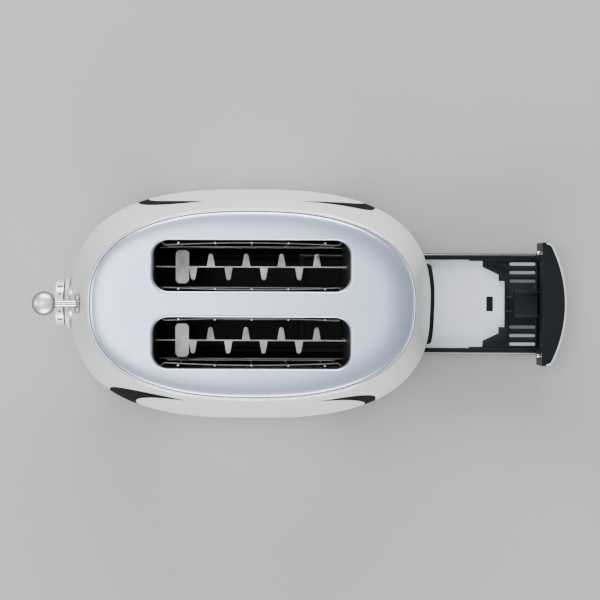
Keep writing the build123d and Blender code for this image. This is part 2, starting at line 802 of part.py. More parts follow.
# Bread racks: an upright plate with teeth bent out to both sides and one cross strip
for y, name in ((slot_y, "left"), (-slot_y, "right")):
    with BuildPart() as rack:
        with BuildSketch(Plane.XZ.offset(-y)):
            start_x = bracket_x + bracket_sheet
            end_x = chamber_half_length + rack_tail
            with Locations(((start_x + end_x) / 2, rack_low_z + rack_height / 2)):
                Rectangle(end_x - start_x, rack_height)
        extrude(amount=rack_sheet / 2, both=True)
        with BuildSketch(Plane.XY.offset(rack_z - rack_sheet)):
            for tooth in range(tooth_count):
                side = 1 if tooth % 2 else -1
                tooth_x = tooth_first_x + tooth * tooth_pitch
                tip_radius = tooth_tip / 2
                tip_y = y + side * (tooth_length - tip_radius)
                with BuildLine():
                    left = (tooth_x - tip_radius, tip_y)
                    right = (tooth_x + tip_radius, tip_y)
                    Polyline(left, (tooth_x - tooth_base / 2, y), (tooth_x + tooth_base / 2, y), right)
                    ThreePointArc(right, (tooth_x, y + side * tooth_length), left)
                make_face()
            with Locations((strip_x, y)):
                RectangleRounded(strip_width, strip_length, strip_corner)
            with Locations(*[(strip_x + offset_x, y) for offset_x in slit_offsets]):
                SlotOverall(slit_length, slit_width, rotation=slit_turn, mode=Mode.SUBTRACT)
        extrude(amount=rack_sheet)
    rack.part.label = f"bread_rack_{name}"
    export_step(rack.part, f"parts/bread_rack_{name}.step")

# Lever rod, riveted to the bracket's arm
with BuildPart() as lever_rod:
    rod_end_x = lever_ball_x - lever_ball_radius + 2 * lever_ball_radius - lever_ball_bore
    with BuildSketch(Plane.YZ.offset(rod_end_x)):
        with Locations((0, lever_z)):
            Circle(lever_rod_radius)
    extrude(amount=arm_x - rod_end_x)
    with BuildSketch(Plane.YZ.offset(arm_x)):
        with Locations((0, lever_z)):
            Circle(lever_rod_radius / 2)
    extrude(amount=bracket_sheet + 0.8)
lever_rod.part.label = "lever_rod"
export_step(lever_rod.part, "parts/lever_rod.step")

# Ball on the end of the lever
with BuildPart() as lever_ball:
    with Locations((lever_ball_x, 0, lever_z)):
        Sphere(lever_ball_radius)
    with BuildSketch(Plane.YZ.offset(rod_end_x)):
        with Locations((0, lever_z)):
            Circle(lever_rod_radius + fit)
    extrude(amount=2 * lever_ball_radius, mode=Mode.SUBTRACT)
lever_ball.part.label = "lever_ball"
export_step(lever_ball.part, "parts/lever_ball.step")

# Shield: a loose disc on the lever rod that rides down the outside of the shell
lever_rise = (lever_z - belly_z) / (rim_z - belly_z)
lever_turn = degrees(asin(lever_rise ** (shoulder_power / 2)))
lever_wall_x = shoulder_section(lever_turn, 0, 0)[0]
shield_x = -lever_wall_x - shield_gap
shield_axis = (-cos(radians(shield_tilt)), 0, sin(radians(shield_tilt)))
shield_plane = Plane((shield_x, 0, lever_z), z_dir=shield_axis)
with BuildPart() as lever_shield:
    with BuildSketch(shield_plane):
        Circle(shield_radius)
    extrude(amount=shield_sheet)
    fillet(lever_shield.faces().sort_by(Axis.X)[0].edges(), shield_round)
    with BuildSketch(Plane.YZ.offset(shield_x - shield_radius)):
        with Locations((0, lever_z)):
            Circle(lever_rod_radius + fit)
    extrude(amount=2 * shield_radius, mode=Mode.SUBTRACT)
lever_shield.part.label = "lever_shield"
export_step(lever_shield.part, "parts/lever_shield.step")

# Browning dial: a drum with a rounded, slightly domed face, hollow behind
with BuildPart() as browning_dial:
    with BuildSketch(Plane.XZ):
        with BuildLine():
            ThreePointArc(
                (dial_front_x, dial_z),
                (dial_front_x + dial_dome / 4, dial_z + dial_radius / 2),
                (dial_front_x + dial_dome, dial_z + dial_radius - dial_round),
            )
            Line(
                (dial_front_x + dial_dome, dial_z + dial_radius - dial_round),
                (dial_front_x + dial_dome + dial_round, dial_z + dial_radius),
            )
            Line(
                (dial_front_x + dial_dome + dial_round, dial_z + dial_radius),
                (dial_back_x, dial_z + dial_radius),
            )
            Polyline(
                (dial_back_x, dial_z + dial_radius),
                (dial_back_x, dial_z + dial_radius - dial_wall),
                (dial_front_x + 2 * dial_wall, dial_z + dial_radius - dial_wall),
                (dial_front_x + 2 * dial_wall, dial_z + 2 * dial_shaft_radius),
                (dial_back_x, dial_z + 2 * dial_shaft_radius),
                (dial_back_x, dial_z + dial_shaft_radius),
                (dial_front_x + dial_wall, dial_z + dial_shaft_radius),
                (dial_front_x + dial_wall, dial_z),
                (dial_front_x, dial_z),
            )
        make_face()
    revolve(axis=Axis((0, 0, dial_z), (1, 0, 0)))
browning_dial.part.label = "browning_dial"
export_step(browning_dial.part, "parts/browning_dial.step")

# Shaft from the dial to the timer
with BuildPart() as dial_shaft:
    with BuildSketch(Plane.YZ.offset(dial_front_x + dial_wall)):
        with Locations((0, dial_z)):
            Circle(dial_shaft_radius)
    extrude(amount=board_x - timer_depth - seat_gap - dial_front_x - dial_wall)
dial_shaft.part.label = "dial_shaft"
export_step(dial_shaft.part, "parts/dial_shaft.step")

# Bezel behind the dial: a flared ring whose hub sits in the shell
with BuildPart() as dial_bezel:
    bezel_back_x = bezel_front_x + bezel_depth
    with BuildSketch(Plane.XZ):
        with BuildLine():
            Polyline(
                (bezel_front_x, dial_z + bezel_front_radius),
                (bezel_back_x, dial_z + bezel_back_radius),
                (bezel_back_x, dial_z + bezel_back_radius - bezel_wall),
                (bezel_back_x - bezel_wall, dial_z + bezel_hub_radius + bezel_wall),
                (bezel_back_x, dial_z + bezel_hub_radius),
                (bezel_back_x + bezel_hub_length - bezel_depth, dial_z + bezel_hub_radius),
                (bezel_back_x + bezel_hub_length - bezel_depth, dial_z + dial_shaft_radius + fit),
                (bezel_front_x + bezel_wall, dial_z + dial_shaft_radius + fit),
                (bezel_front_x + bezel_wall, dial_z + bezel_front_radius - bezel_wall),
                (bezel_front_x, dial_z + bezel_front_radius - bezel_wall),
                close=True,
            )
        make_face()
    revolve(axis=Axis((0, 0, dial_z), (1, 0, 0)))
dial_bezel.part.label = "dial_bezel"
export_step(dial_bezel.part, "parts/dial_bezel.step")

# Control board behind the dial
with BuildPart() as control_board:
    with BuildSketch(Plane.YZ.offset(board_x)):
        with Locations((0, board_z + board_height / 2)):
            Rectangle(2 * board_half_width, board_height)
    extrude(amount=board_sheet)
control_board.part.label = "control_board"
export_step(control_board.part, "parts/control_board.step")

# Timer that the dial turns
with BuildPart() as dial_timer:
    with BuildSketch(Plane.YZ.offset(board_x - timer_depth)):
        with Locations((0, dial_z)):
            Circle(timer_radius)
    extrude(amount=timer_depth)
dial_timer.part.label = "dial_timer"
export_step(dial_timer.part, "parts/dial_timer.step")

# Three switches on the board, one behind each button
with BuildPart() as button_switches:
    with BuildSketch(Plane.YZ.offset(board_x - switch_height)):
        with Locations(*[(step * button_pitch, button_z) for step in (-1, 0, 1)]):
            RectangleRounded(switch_width, switch_width, switch_corner)
    extrude(amount=switch_height)
button_switches.part.label = "button_switches"
export_step(button_switches.part, "parts/button_switches.step")

# Magnet that holds the carriage down: yoke and coil
with BuildPart() as magnet_yoke:
    with BuildSketch(Plane.YZ.offset(board_back_x)):
        with Locations((0, (magnet_z + magnet_top_z) / 2)):
            Rectangle(2 * magnet_half_width, magnet_top_z - magnet_z)
        with Locations((0, (magnet_z + magnet_foot + magnet_top_z) / 2)):
            Rectangle(
                2 * (magnet_half_width - magnet_leg),
                magnet_top_z - magnet_z - magnet_foot,
                mode=Mode.SUBTRACT,
            )
    extrude(amount=magnet_depth)
magnet_yoke.part.label = "magnet_yoke"
export_step(magnet_yoke.part, "parts/magnet_yoke.step")

with BuildPart() as magnet_coil:
    with BuildSketch(Plane.XY.offset(magnet_z + magnet_foot)):
        with Locations((board_back_x + magnet_depth / 2, 0)):
            coil_width = 2 * (magnet_half_width - magnet_leg)
            RectangleRounded(magnet_depth - 1, coil_width, coil_width / 3)
    extrude(amount=magnet_top_z - magnet_z - magnet_foot - 2)
magnet_coil.part.label = "magnet_coil"
export_step(magnet_coil.part, "parts/magnet_coil.step")

# Mains contact block beside the magnet
with BuildPart() as contact_block:
    with BuildSketch(Plane.YZ.offset(board_back_x)):
        with Locations((contact_y, dial_z)):
            RectangleRounded(contact_width, contact_height, contact_corner)
    extrude(amount=magnet_depth - 2)
contact_block.part.label = "contact_block"
export_step(contact_block.part, "parts/contact_block.step")

# Buttons under the dial: domed caps with a flange inside the shell and a stem to the switch
for step, name in ((1, "left"), (0, "centre"), (-1, "right")):
    button_y = step * button_pitch
    crown_x = -end_wall_x(button_y, button_z) - button_proud
    flange_x = -end_wall_x(abs(button_y) + button_radius, button_z - button_radius, shell_wall)
    flange_x = flange_x + seat_gap
    stem_x = board_x - switch_height - button_travel - seat_gap
    with BuildPart() as button:
        with BuildSketch(Plane.XZ):
            with BuildLine():
                ThreePointArc(
                    (crown_x, 0),
                    (crown_x + button_dome / 4, button_radius / 2),
                    (crown_x + button_dome, button_radius),
                )
                Polyline(
                    (crown_x + button_dome, button_radius),
                    (flange_x, button_radius),
                    (flange_x, button_radius + button_flange),
                    (flange_x + button_flange, button_radius + button_flange),
                    (flange_x + button_flange, button_stem_radius),
                    (stem_x, button_stem_radius),
                    (stem_x, 0),
                    (crown_x, 0),
                )
            make_face()
        revolve(axis=Axis.X)
    button_placed = button.part.moved(Location((0, button_y, button_z)))
    button_placed.label = f"button_{name}"
    export_step(button_placed, f"parts/button_{name}.step")

# Tray frame: moulded rails and floor that carry the crumb plate
with BuildPart() as tray_frame:
    with BuildSketch(Plane.XY.offset(tray_z)):
        frame_length = tray_front_end_x - tray_back_x
        with Locations((tray_back_x + frame_length / 2, 0)):
            Rectangle(frame_length, 2 * tray_half_width)
    extrude(amount=tray_height)
    chamfer(tray_frame.faces().sort_by(Axis.Z)[-1].edges().filter_by(Axis.X), rail_bevel)
    pocket_end_x = tray_front_end_x + tray_gap
    with BuildSketch(Plane.XY.offset(plate_z)):
        with Locations(((tray_back_x + tray_side + pocket_end_x) / 2, 0)):
            pocket_width = 2 * (tray_half_width - tray_side)
            Rectangle(pocket_end_x - tray_back_x - tray_side, pocket_width)
    extrude(amount=tray_height, mode=Mode.SUBTRACT)
    with BuildSketch(Plane.XY.offset(tray_z)):
        with Locations((tray_back_x + frame_length / 2, 0)):
            Rectangle(frame_length - 2 * tray_side, pocket_width)
    extrude(amount=tray_floor_z - tray_z, mode=Mode.SUBTRACT)
    with BuildSketch(Plane.XY.offset(tray_floor_z)):
        with Locations((tray_front_end_x + tray_gap / 2, 0)):
            Rectangle(tray_gap, pocket_width)
    extrude(amount=tray_floor)
tray_frame_drawn = tray_frame.part.moved(drawn)
tray_frame_drawn.label = "tray_frame"
export_step(tray_frame_drawn, "parts/tray_frame.step")

# Crumb plate: bright sheet lying in the frame, with a square catch hole
with BuildPart() as crumb_plate:
    with BuildSketch(Plane.XY.offset(plate_z)):
        plate_length = tray_front_end_x - deck_fit - plate_back_x
        with Locations((plate_back_x + plate_length / 2, 0)):
            Rectangle(plate_length, 2 * (tray_half_width - tray_side - deck_fit))
        with Locations((catch_x, 0)):
            Rectangle(catch_length, catch_width, mode=Mode.SUBTRACT)
    extrude(amount=plate_sheet)
crumb_plate_drawn = crumb_plate.part.moved(drawn)
crumb_plate_drawn.label = "crumb_plate"
export_step(crumb_plate_drawn, "parts/crumb_plate.step")

# Tray deck: moulded grille over the front of the plate, stepped along its inner edge
with BuildPart() as tray_deck:
    with BuildSketch(Plane.XY.offset(deck_z)):
        with BuildLine():
            deck_y = tray_half_width - tray_side - deck_fit
            edge = [(tray_front_end_x + x, y) for x, y in ((deck_edge[0][0], deck_y), *deck_edge)]
            mirrored = [(x, -y) for x, y in reversed(edge)]
            Polyline(
                (tray_front_end_x, deck_y),
                *edge,
                *mirrored,
                (tray_front_end_x, -deck_y),
                close=True,
            )
        make_face()
        tray_vent_x = tray_front_end_x - tray_vent_end - tray_vent_length / 2
        for side in (1, -1):
            for vent in range(3):
                tray_vent_y = side * (tray_vent_first_y + vent * tray_vent_pitch)
                with Locations((tray_vent_x, tray_vent_y)):
                    SlotOverall(tray_vent_length, tray_vent_width, mode=Mode.SUBTRACT)
    extrude(amount=deck_sheet)
tray_deck_drawn = tray_deck.part.moved(drawn)
tray_deck_drawn.label = "tray_deck"
export_step(tray_deck_drawn, "parts/tray_deck.step")

# Latch box on the deck, with side ribs that reach the tray front and two prongs
with BuildPart() as latch_box:
    latch_z = deck_z + deck_sheet
    latch_back_x = tray_front_end_x - latch_length
    with BuildSketch(Plane.XY.offset(latch_z)):
        with Locations((latch_back_x + latch_length / 2, 0)):
            Rectangle(latch_length, 2 * latch_half_width)
    extrude(amount=latch_height - latch_lid_drop)
    with BuildSketch(Plane.XY.offset(latch_z)):
        rib_x = (latch_back_x + front_face_x) / 2
        rib_y = latch_half_width - latch_rib / 2
        with Locations((rib_x, rib_y), (rib_x, -rib_y)):
            Rectangle(front_face_x - latch_back_x, latch_rib)
    extrude(amount=latch_height)
    with BuildSketch(Plane.XY.offset(latch_z)):
        prong_x = latch_back_x - prong_length / 2
        with Locations((prong_x, prong_y), (prong_x, -prong_y)):
            Rectangle(prong_length, prong_width)
    extrude(amount=latch_height / 2)
latch_box_drawn = latch_box.part.moved(drawn)
latch_box_drawn.label = "latch_box"
export_step(latch_box_drawn, "parts/latch_box.step")


def front_plan(inset):
    """Plan of the tray front: flat behind, bowed in front with round corners, drawn in."""
    end_x = front_face_x + front_end_depth
    crown_x = front_face_x + front_depth
    with BuildSketch(Plane.XY.offset(tray_z)) as plan:
        with BuildLine():
            ThreePointArc((end_x, -front_half_width), (crown_x, 0), (end_x, front_half_width))
            Polyline(
                (end_x, front_half_width),
                (front_face_x, front_half_width),
                (front_face_x, -front_half_width),
                (end_x, -front_half_width),
            )
        make_face()
        fillet(plan.vertices().group_by(Axis.X)[-1], front_corner)
        if inset > 0:
            offset(amount=-inset, mode=Mode.REPLACE)
    return plan.sketch


# Bright steel skin round the bow of the tray front
with BuildPart() as front_cover:
    extrude(front_plan(0), amount=front_height)
    extrude(front_plan(front_skin), amount=front_height, mode=Mode.SUBTRACT)
    split(bisect_by=Plane.YZ.offset(front_face_x + front_skin_back), keep=Keep.TOP)
front_cover_drawn = front_cover.part.moved(drawn)
front_cover_drawn.label = "tray_front_skin"
export_step(front_cover_drawn, "parts/tray_front_skin.step")

# Tray front: black moulded cover, open below
with BuildPart() as tray_front:
    extrude(front_plan(0), amount=front_height)
    add(front_cover.part, mode=Mode.SUBTRACT)
    front_hollow = front_plan(front_skin + front_wall)
    extrude(front_hollow, amount=front_height - front_wall, mode=Mode.SUBTRACT)
tray_front_drawn = tray_front.part.moved(drawn)
tray_front_drawn.label = "tray_front"
export_step(tray_front_drawn, "parts/tray_front.step")

# Locating pins on the back of the tray front
with BuildPart() as tray_pins:
    with BuildSketch(Plane.YZ.offset(front_face_x)):
        with Locations((pin_y, pin_z), (-pin_y, pin_z)):
            Circle(pin_radius)
    extrude(amount=-pin_length)
    fillet(tray_pins.faces().filter_by(Plane.YZ).group_by(Axis.X)[0].edges(), pin_radius / 2)
tray_pins_drawn = tray_pins.part.moved(drawn)
tray_pins_drawn.label = "tray_pins"
export_step(tray_pins_drawn, "parts/tray_pins.step")

# Rear panel: black wall at the back of the recess that the tray passes through
with BuildPart() as rear_panel:
    panel_face_x = front_face_x - seat_gap
    with BuildSketch(Plane.YZ.offset(panel_face_x - rear_panel_sheet)):
        with Locations((0, tray_z - seat_gap + rear_panel_height / 2)):
            Rectangle(2 * recess_half_width, rear_panel_height)
        with Locations((0, tray_z + tray_height / 2)):
            way_height = tray_height + 2 * seat_gap
            Rectangle(2 * (tray_half_width + deck_fit), way_height, mode=Mode.SUBTRACT)
        with Locations((0, tray_z + tray_height)):
            notch_height = 2 * (latch_z + latch_height - tray_z - tray_height + seat_gap)
            Rectangle(2 * (latch_half_width + deck_fit), notch_height, mode=Mode.SUBTRACT)
        with Locations((pin_y, pin_z), (-pin_y, pin_z)):
            Circle(pin_radius + seat_gap, mode=Mode.SUBTRACT)
    extrude(amount=rear_panel_sheet)
rear_panel.part.label = "rear_panel"
export_step(rear_panel.part, "parts/rear_panel.step")

# Rear band: black bar above the recess that follows the curve of the shell's end
with BuildPart() as rear_band:
    band_reach = skirt_reach + band_proud + skirt_draw
    with BuildSketch(Plane.XY.offset(recess_top_z)):
        add(oval(rim_half_length + band_reach, rim_half_width + band_reach, belly_roundness, 0))
        with Locations((rim_half_length, 0)):
            Rectangle(2 * shoulder_reach + 2 * band_proud, 2 * band_half_width, mode=Mode.INTERSECT)
    extrude(amount=band_height)
    ends = rear_band.edges().filter_by(Axis.Z).sort_by(Axis.Y)
    fillet([ends.group_by(Axis.Y)[place].sort_by(Axis.X)[-1] for place in (0, -1)], band_round)
    add(shell_hull, mode=Mode.SUBTRACT)
rear_band.part.label = "rear_band"
export_step(rear_band.part, "parts/rear_band.step")
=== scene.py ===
"""Two-slice toaster with a ball lever, a browning dial and a drawn-out crumb tray.

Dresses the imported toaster: smooth skins for the curved parts, wire cages and heater ribbons
made with geometry nodes, dial marks, procedural finishes, and a plain studio stage.
"""

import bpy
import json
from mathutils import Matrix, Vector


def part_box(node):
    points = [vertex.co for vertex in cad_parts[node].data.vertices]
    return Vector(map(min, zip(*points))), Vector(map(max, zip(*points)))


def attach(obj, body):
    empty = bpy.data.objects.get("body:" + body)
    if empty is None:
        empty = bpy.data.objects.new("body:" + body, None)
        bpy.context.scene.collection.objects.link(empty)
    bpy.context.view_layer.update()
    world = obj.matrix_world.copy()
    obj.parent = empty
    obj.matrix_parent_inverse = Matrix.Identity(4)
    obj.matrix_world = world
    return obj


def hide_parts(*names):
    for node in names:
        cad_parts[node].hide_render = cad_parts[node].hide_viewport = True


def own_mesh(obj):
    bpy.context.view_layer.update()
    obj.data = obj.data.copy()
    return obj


bl_info = {
    "name": "Toaster",
    "version": (1, 0, 0),
    "blender": (4, 5, 0),
    "location": "View3D > Sidebar > Toaster",
    "description": "Builds the skins, wires, marks and finishes of a two-slice toaster",
    "category": "Add Mesh",
}

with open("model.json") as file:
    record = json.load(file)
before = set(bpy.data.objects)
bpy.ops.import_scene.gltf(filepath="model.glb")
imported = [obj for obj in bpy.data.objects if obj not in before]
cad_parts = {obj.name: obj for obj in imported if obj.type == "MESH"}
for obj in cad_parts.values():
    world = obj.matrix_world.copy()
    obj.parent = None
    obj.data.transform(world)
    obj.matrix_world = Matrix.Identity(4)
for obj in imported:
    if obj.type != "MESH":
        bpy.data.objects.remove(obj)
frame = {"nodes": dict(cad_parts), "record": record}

import json
from math import cos, radians, sin

import bmesh
import bpy
import numpy as np
from bpy.props import FloatProperty, FloatVectorProperty, IntProperty, PointerProperty
from bpy.types import Operator, Panel, PropertyGroup
from mathutils import Vector

MM = 0.001

# Shell in plan and height, in metres, as the part's own source draws it
RIM_HALF_LENGTH = 136 * MM
RIM_HALF_WIDTH = 78.7 * MM
RIM_ROUNDNESS = 2.45
BELLY_ROUNDNESS = 2.7
SHOULDER_REACH = 21.9 * MM
SHOULDER_POWER = 1.25
RIM_Z = 193 * MM
BELLY_Z = 88 * MM
SKIRT_Z = 14 * MM
SKIRT_DRAW = 5 * MM

# Top panel: its rolled edge, and the wider roll that the edge is shaded with
PANEL_INSET = 2 * MM
PANEL_CROWN = 3 * MM
PANEL_ROLL = 11 * MM
PANEL_SOFT_ROLL = 24 * MM
PANEL_SOFT_CROWN = 5 * MM
PANEL_SOFT_EDGE = 0.03
PANEL_GRID = 5 * MM

# Copies of frame meshes: weld, flat areas, creases in degrees, and what counts as surface
WELD = 0.002 * MM
FLAT_ANGLE = radians(0.6)
FINE_CREASE = 30.0
CREASE = 35.0
SHELL_CREASE = 40.0
BUTTON_CREASE = 50.0
SLOPE_STEP = 0.02 * MM
SURFACE_REACH = 0.6 * MM
SURFACE_FACING = 0.8
LEAST_SLOPE = 0.05
LEAST_STEEPNESS = 1e-6
LEVEL = 0.999
FACING_UP = 0.15

# Wire cages of the bread guides
SLOT_Y = 32 * MM
GUIDE_OFFSET = 18 * MM
GUIDE_PIVOT_Z = 42 * MM
GUIDE_TOP_Z = 175.5 * MM
GUIDE_BOW_Z = 150 * MM
GUIDE_LOW_Z = 84 * MM
GUIDE_PITCH = 30.7 * MM
GUIDE_HALF_LENGTH = 74 * MM
GUIDE_HOOK = 3.5 * MM
GUIDE_BOW = 2 * MM
GUIDE_WELD = 1.2 * MM
GUIDE_PIVOT_END = 84 * MM
GUIDE_BOW_STEPS = 4
WIRE_RADIUS = 0.8 * MM
WIRE_SIDES = 12
BEND_RADIUS = 2 * MM
BEND_STEPS = 4

# Heater ribbons
HEATER_Y = 57 * MM
HEATER_BOARD = 1 * MM
HEATER_Z = 48 * MM
HEATER_HEIGHT = 128 * MM
RIBBON_PITCH = 12.5 * MM
RIBBON_TURNS = 12
RIBBON_CLEAR = 0.15 * MM
RIBBON_LEAN = 0.35
RIBBON_SHEET = 0.12 * MM

# Lift spring
SPRING_TURNS = 14.0
SPRING_WIRE = 0.9 * MM
SPRING_GAP = 0.05 * MM
SPRING_RADIUS = 3.6 * MM
SPRING_HEIGHT = 60 * MM
SPRING_STEPS = 28
SPRING_SIDES = 10

# Browning dial with its marks, and the painted shade of the gap on the bezel's face behind it
DIAL_Z = 66 * MM
DIAL_RADIUS = 20 * MM
DIAL_MARK_X = -169 * MM
MARK_STROKE = 0.38 * MM
MARK_DEPTH = 0.04 * MM
MARK_LIFT = 0.02 * MM
DOT_SHARE = 0.7
BEZEL_SHADE_X = -164.3 * MM
BEZEL_SHADE_EDGE = 0.3 * MM

# Ball of the lever, and where the painted highlight on its crown begins
BALL_HIGHLIGHT_Z = 165 * MM
BALL_HIGHLIGHT_FADE = 4.5 * MM

# Outer rails of the tray, and painted shade on the crumb plate under the vents of the deck
TRAY_RAIL_Y = 43 * MM
DECK_VENTS_X = 232.5 * MM
DECK_SHADE_EDGE = 2 * MM
DECK_SHADE_MIDDLE = 18 * MM
DECK_SHADE_SPREAD = 20 * MM

# Repeats to the metre of the shared noises, and brushed grain as repeats along X, Y and Z
SPARKLE = 2600.0
CLOUD = 22.0
DIAL_BRUSH = (1500, 60, 60)
BEZEL_BRUSH = (60, 900, 900)
SHAFT_BRUSH = (60, 1500, 1500)
WIRE_BRUSH = (80, 1800, 1800)
DRAWN_GRAIN = (1100, 140, 1100)
ZINC_GRAIN = (160, 1100, 1100)

# Scratches: their width to their length, the noise above which they show, and their edge
SCRATCH_NARROW = 0.04
SCRATCH_LEVEL = 0.66
SCRATCH_EDGE = 9.0

# Fixed colours. A heated steel has its own colour and that of its patches
SHAFT_STEEL = (0.5, 0.5, 0.5)
DRAWN_WIRE = (0.42, 0.42, 0.41)
RACK_STEEL = (0.34, 0.335, 0.32), (0.29, 0.27, 0.24)
SPRING_STEEL = (0.4, 0.39, 0.37), (0.25, 0.2, 0.15)
CHAMBER_STEEL = (0.24, 0.22, 0.2), (0.1, 0.075, 0.055)
RIBBON_STEEL = (0.3, 0.27, 0.24), (0.16, 0.11, 0.08)
PALE_MOULDING = (0.5, 0.48, 0.42)
ZINC = (0.42, 0.43, 0.44)
# Painted shade on the crumb plate under the deck: the darkest near the middle, the palest outward
DECK_SHADE = (0.12, 0.13, 0.13), (0.9, 0.99, 0.98)
# Painted shade of the gap between the dial and the bezel
GAP_SHADE = (0.01, 0.01, 0.012)
SKY_COLOUR = (0.92, 0.95, 1.0, 1.0)
WHITE = (1.0, 1.0, 1.0)
COOL = (0.94, 0.97, 1.0)

# Lights: place, target, size, the setting that holds their power, and colour
LIGHTS = {
    "overhead": ((-0.63, 0.08, 2.4), (0, 0, 0), (1.4, 1.5), "overhead", COOL),
    "side_left": ((0, 1.5, 0.5), (0, 0, 0.1), (1.5, 0.66), "sides", WHITE),
    "side_right": ((0, -1.5, 0.36), (0, 0, 0.1), (1.5, 0.66), "sides", WHITE),
    "front": ((-1.6, 0, 0.6), (0, 0, 0.1), (0.6, 0.5), "front", WHITE),
    "low": ((0.63, 1.2, 0.1), (0.3, 0, 0.05), (0.6, 0.16), "low", WHITE),
}

# Floor, and the camera that looks straight down
FLOOR_REACH = 6.0
CAMERA_PLACE = (-10 * MM, 13.2 * MM)
CAMERA_ROLL = 0.004
CAMERA_SENSOR = 36.0
CAMERA_LENS = 116.94
CAMERA_SHIFT = (0.1005, -0.0192)

BODY_OF = {
    node: body
    for body, nodes in frame["record"]["behaviour"]["bodies"].items()
    for node in nodes
}
JOINTS = frame["record"]["behaviour"]["joints"]


# Settings

# What every colour setting has
COLOUR = {"subtype": "COLOR", "size": 3, "min": 0, "max": 1}


class ToasterFinish(PropertyGroup):
    """Colours and gloss of the toaster's finishes."""

    shell: FloatVectorProperty(
        name="Shell", description="Colour of the satin metal shell",
        default=(0.69, 0.7, 0.68), **COLOUR,
    )
    shell_gloss: FloatProperty(
        name="Shell roughness", description="Roughness of the satin shell",
        min=0, max=1, default=0.34, subtype="FACTOR",
    )
    panel: FloatVectorProperty(
        name="Top panel", description="Colour of the top panel",
        default=(0.67, 0.76, 1.0), **COLOUR,
    )
    bright: FloatVectorProperty(
        name="Bright trim", description="Colour of the polished metal",
        default=(0.82, 0.82, 0.83), **COLOUR,
    )
    black: FloatVectorProperty(
        name="Black mouldings", description="Colour of the black plastic",
        default=(0.007, 0.008, 0.009), **COLOUR,
    )
    plate: FloatVectorProperty(
        name="Crumb plate", description="Colour of the crumb plate",
        default=(0.82, 0.85, 1.0), **COLOUR,
    )


class ToasterWires(PropertyGroup):
    """Sizes of the wires and ribbons in the toasting chamber."""

    guide_radius: FloatProperty(
        name="Guide wire radius", description="Radius of the bread guides' wires",
        unit="LENGTH", min=0.2 * MM, max=2 * MM, default=WIRE_RADIUS,
    )
    guide_bend: FloatProperty(
        name="Guide bend", description="Inner radius of the bends in the guide wires",
        unit="LENGTH", min=0, max=10 * MM, default=BEND_RADIUS,
    )
    guide_uprights: IntProperty(
        name="Uprights", description="Upright wires in each bread guide",
        min=2, max=12, default=5,
    )
    ribbon_width: FloatProperty(
        name="Ribbon width", description="Width of the heater ribbon",
        unit="LENGTH", min=0.5 * MM, max=4 * MM, default=1.6 * MM,
    )


class ToasterMarks(PropertyGroup):
    """Numbers and dots round the browning dial."""

    count: IntProperty(
        name="Settings", description="Numbered browning settings", min=3, max=9, default=7,
    )
    pitch: FloatProperty(
        name="Pitch", description="Angle between two numbers", subtype="ANGLE",
        min=radians(20), max=radians(90), default=radians(46),
    )
    height: FloatProperty(
        name="Number height", description="Height of the dial's numbers",
        unit="LENGTH", min=1 * MM, max=8 * MM, default=6 * MM,
    )


class ToasterStage(PropertyGroup):
    """Floor, light and camera."""

    floor: FloatVectorProperty(
        name="Floor", description="Colour of the plain floor",
        default=(0.46, 0.46, 0.46), **COLOUR,
    )
    overhead: FloatProperty(
        name="Overhead light", description="Power of the large light above",
        min=0, max=500, default=32,
    )
    sides: FloatProperty(
        name="Side lights", description="Power of the lights along both sides",
        min=0, max=500, default=44,
    )
    front: FloatProperty(
        name="Front light", description="Power of the light at the dial end",
        min=0, max=500, default=9,
    )
    low: FloatProperty(
        name="Low light", description="Power of the low strip of light along the tray's rail",
        min=0, max=500, default=8,
    )
    sky: FloatProperty(
        name="Surroundings", description="Brightness of the surroundings",
        min=0, max=5, default=0.35,
    )
    camera_height: FloatProperty(
        name="Camera height", description="Height of the camera above the bench",
        unit="LENGTH", min=0.5, max=5, default=1.804,
    )


# Node trees


class Wire:
    """An output in a node tree, whose arithmetic adds Math nodes to that tree."""

    def __init__(self, tree, socket=None):
        self.tree = tree
        self.socket = socket

    def node(self, kind, settings=None, inputs=None, output=0):
        """Adds a node with its settings, then the values or links of its inputs."""
        made = self.tree.nodes.new(kind)
        for name, value in (settings or {}).items():
            setattr(made, name, value)
        for name, value in (inputs or {}).items():
            if isinstance(value, Wire):
                self.tree.links.new(value.socket, made.inputs[name])
            else:
                made.inputs[name].default_value = value
        return Wire(self.tree, made.outputs[output])

    def maths(self, operation, first, second=0.0, clamp=False):
        settings = {"operation": operation, "use_clamp": clamp}
        return self.node("ShaderNodeMath", settings, {0: first, 1: second})

    def __add__(self, other):
        return self.maths("ADD", self, other)

    __radd__ = __add__

    def __sub__(self, other):
        return self.maths("SUBTRACT", self, other)

    def __rsub__(self, other):
        return self.maths("SUBTRACT", other, self)

    def __mul__(self, other):
        return self.maths("MULTIPLY", self, other)

    __rmul__ = __mul__

    def __truediv__(self, other):
        return self.maths("DIVIDE", self, other)

    def __rtruediv__(self, other):
        return self.maths("DIVIDE", other, self)

    def limit(self):
        """This value held between 0 and 1."""
        return self.maths("ADD", self, 0.0, clamp=True)

    def blend(self, first, second):
        """Colour that goes from first to second as this value goes from 0 to 1."""
        settings = {"data_type": "RGBA"}
        inputs = {0: self, 6: colour4(first), 7: colour4(second)}
        return self.node("ShaderNodeMix", settings, inputs, output=2)


def colour4(value):
    """A colour with its alpha, or a link left as it is."""
    return value if isinstance(value, Wire) else (*tuple(value)[:3], 1.0)


def shade(colour, factor):
    """A colour made darker or lighter by a factor."""
    return tuple(min(1.0, channel * factor) for channel in tuple(colour)[:3])


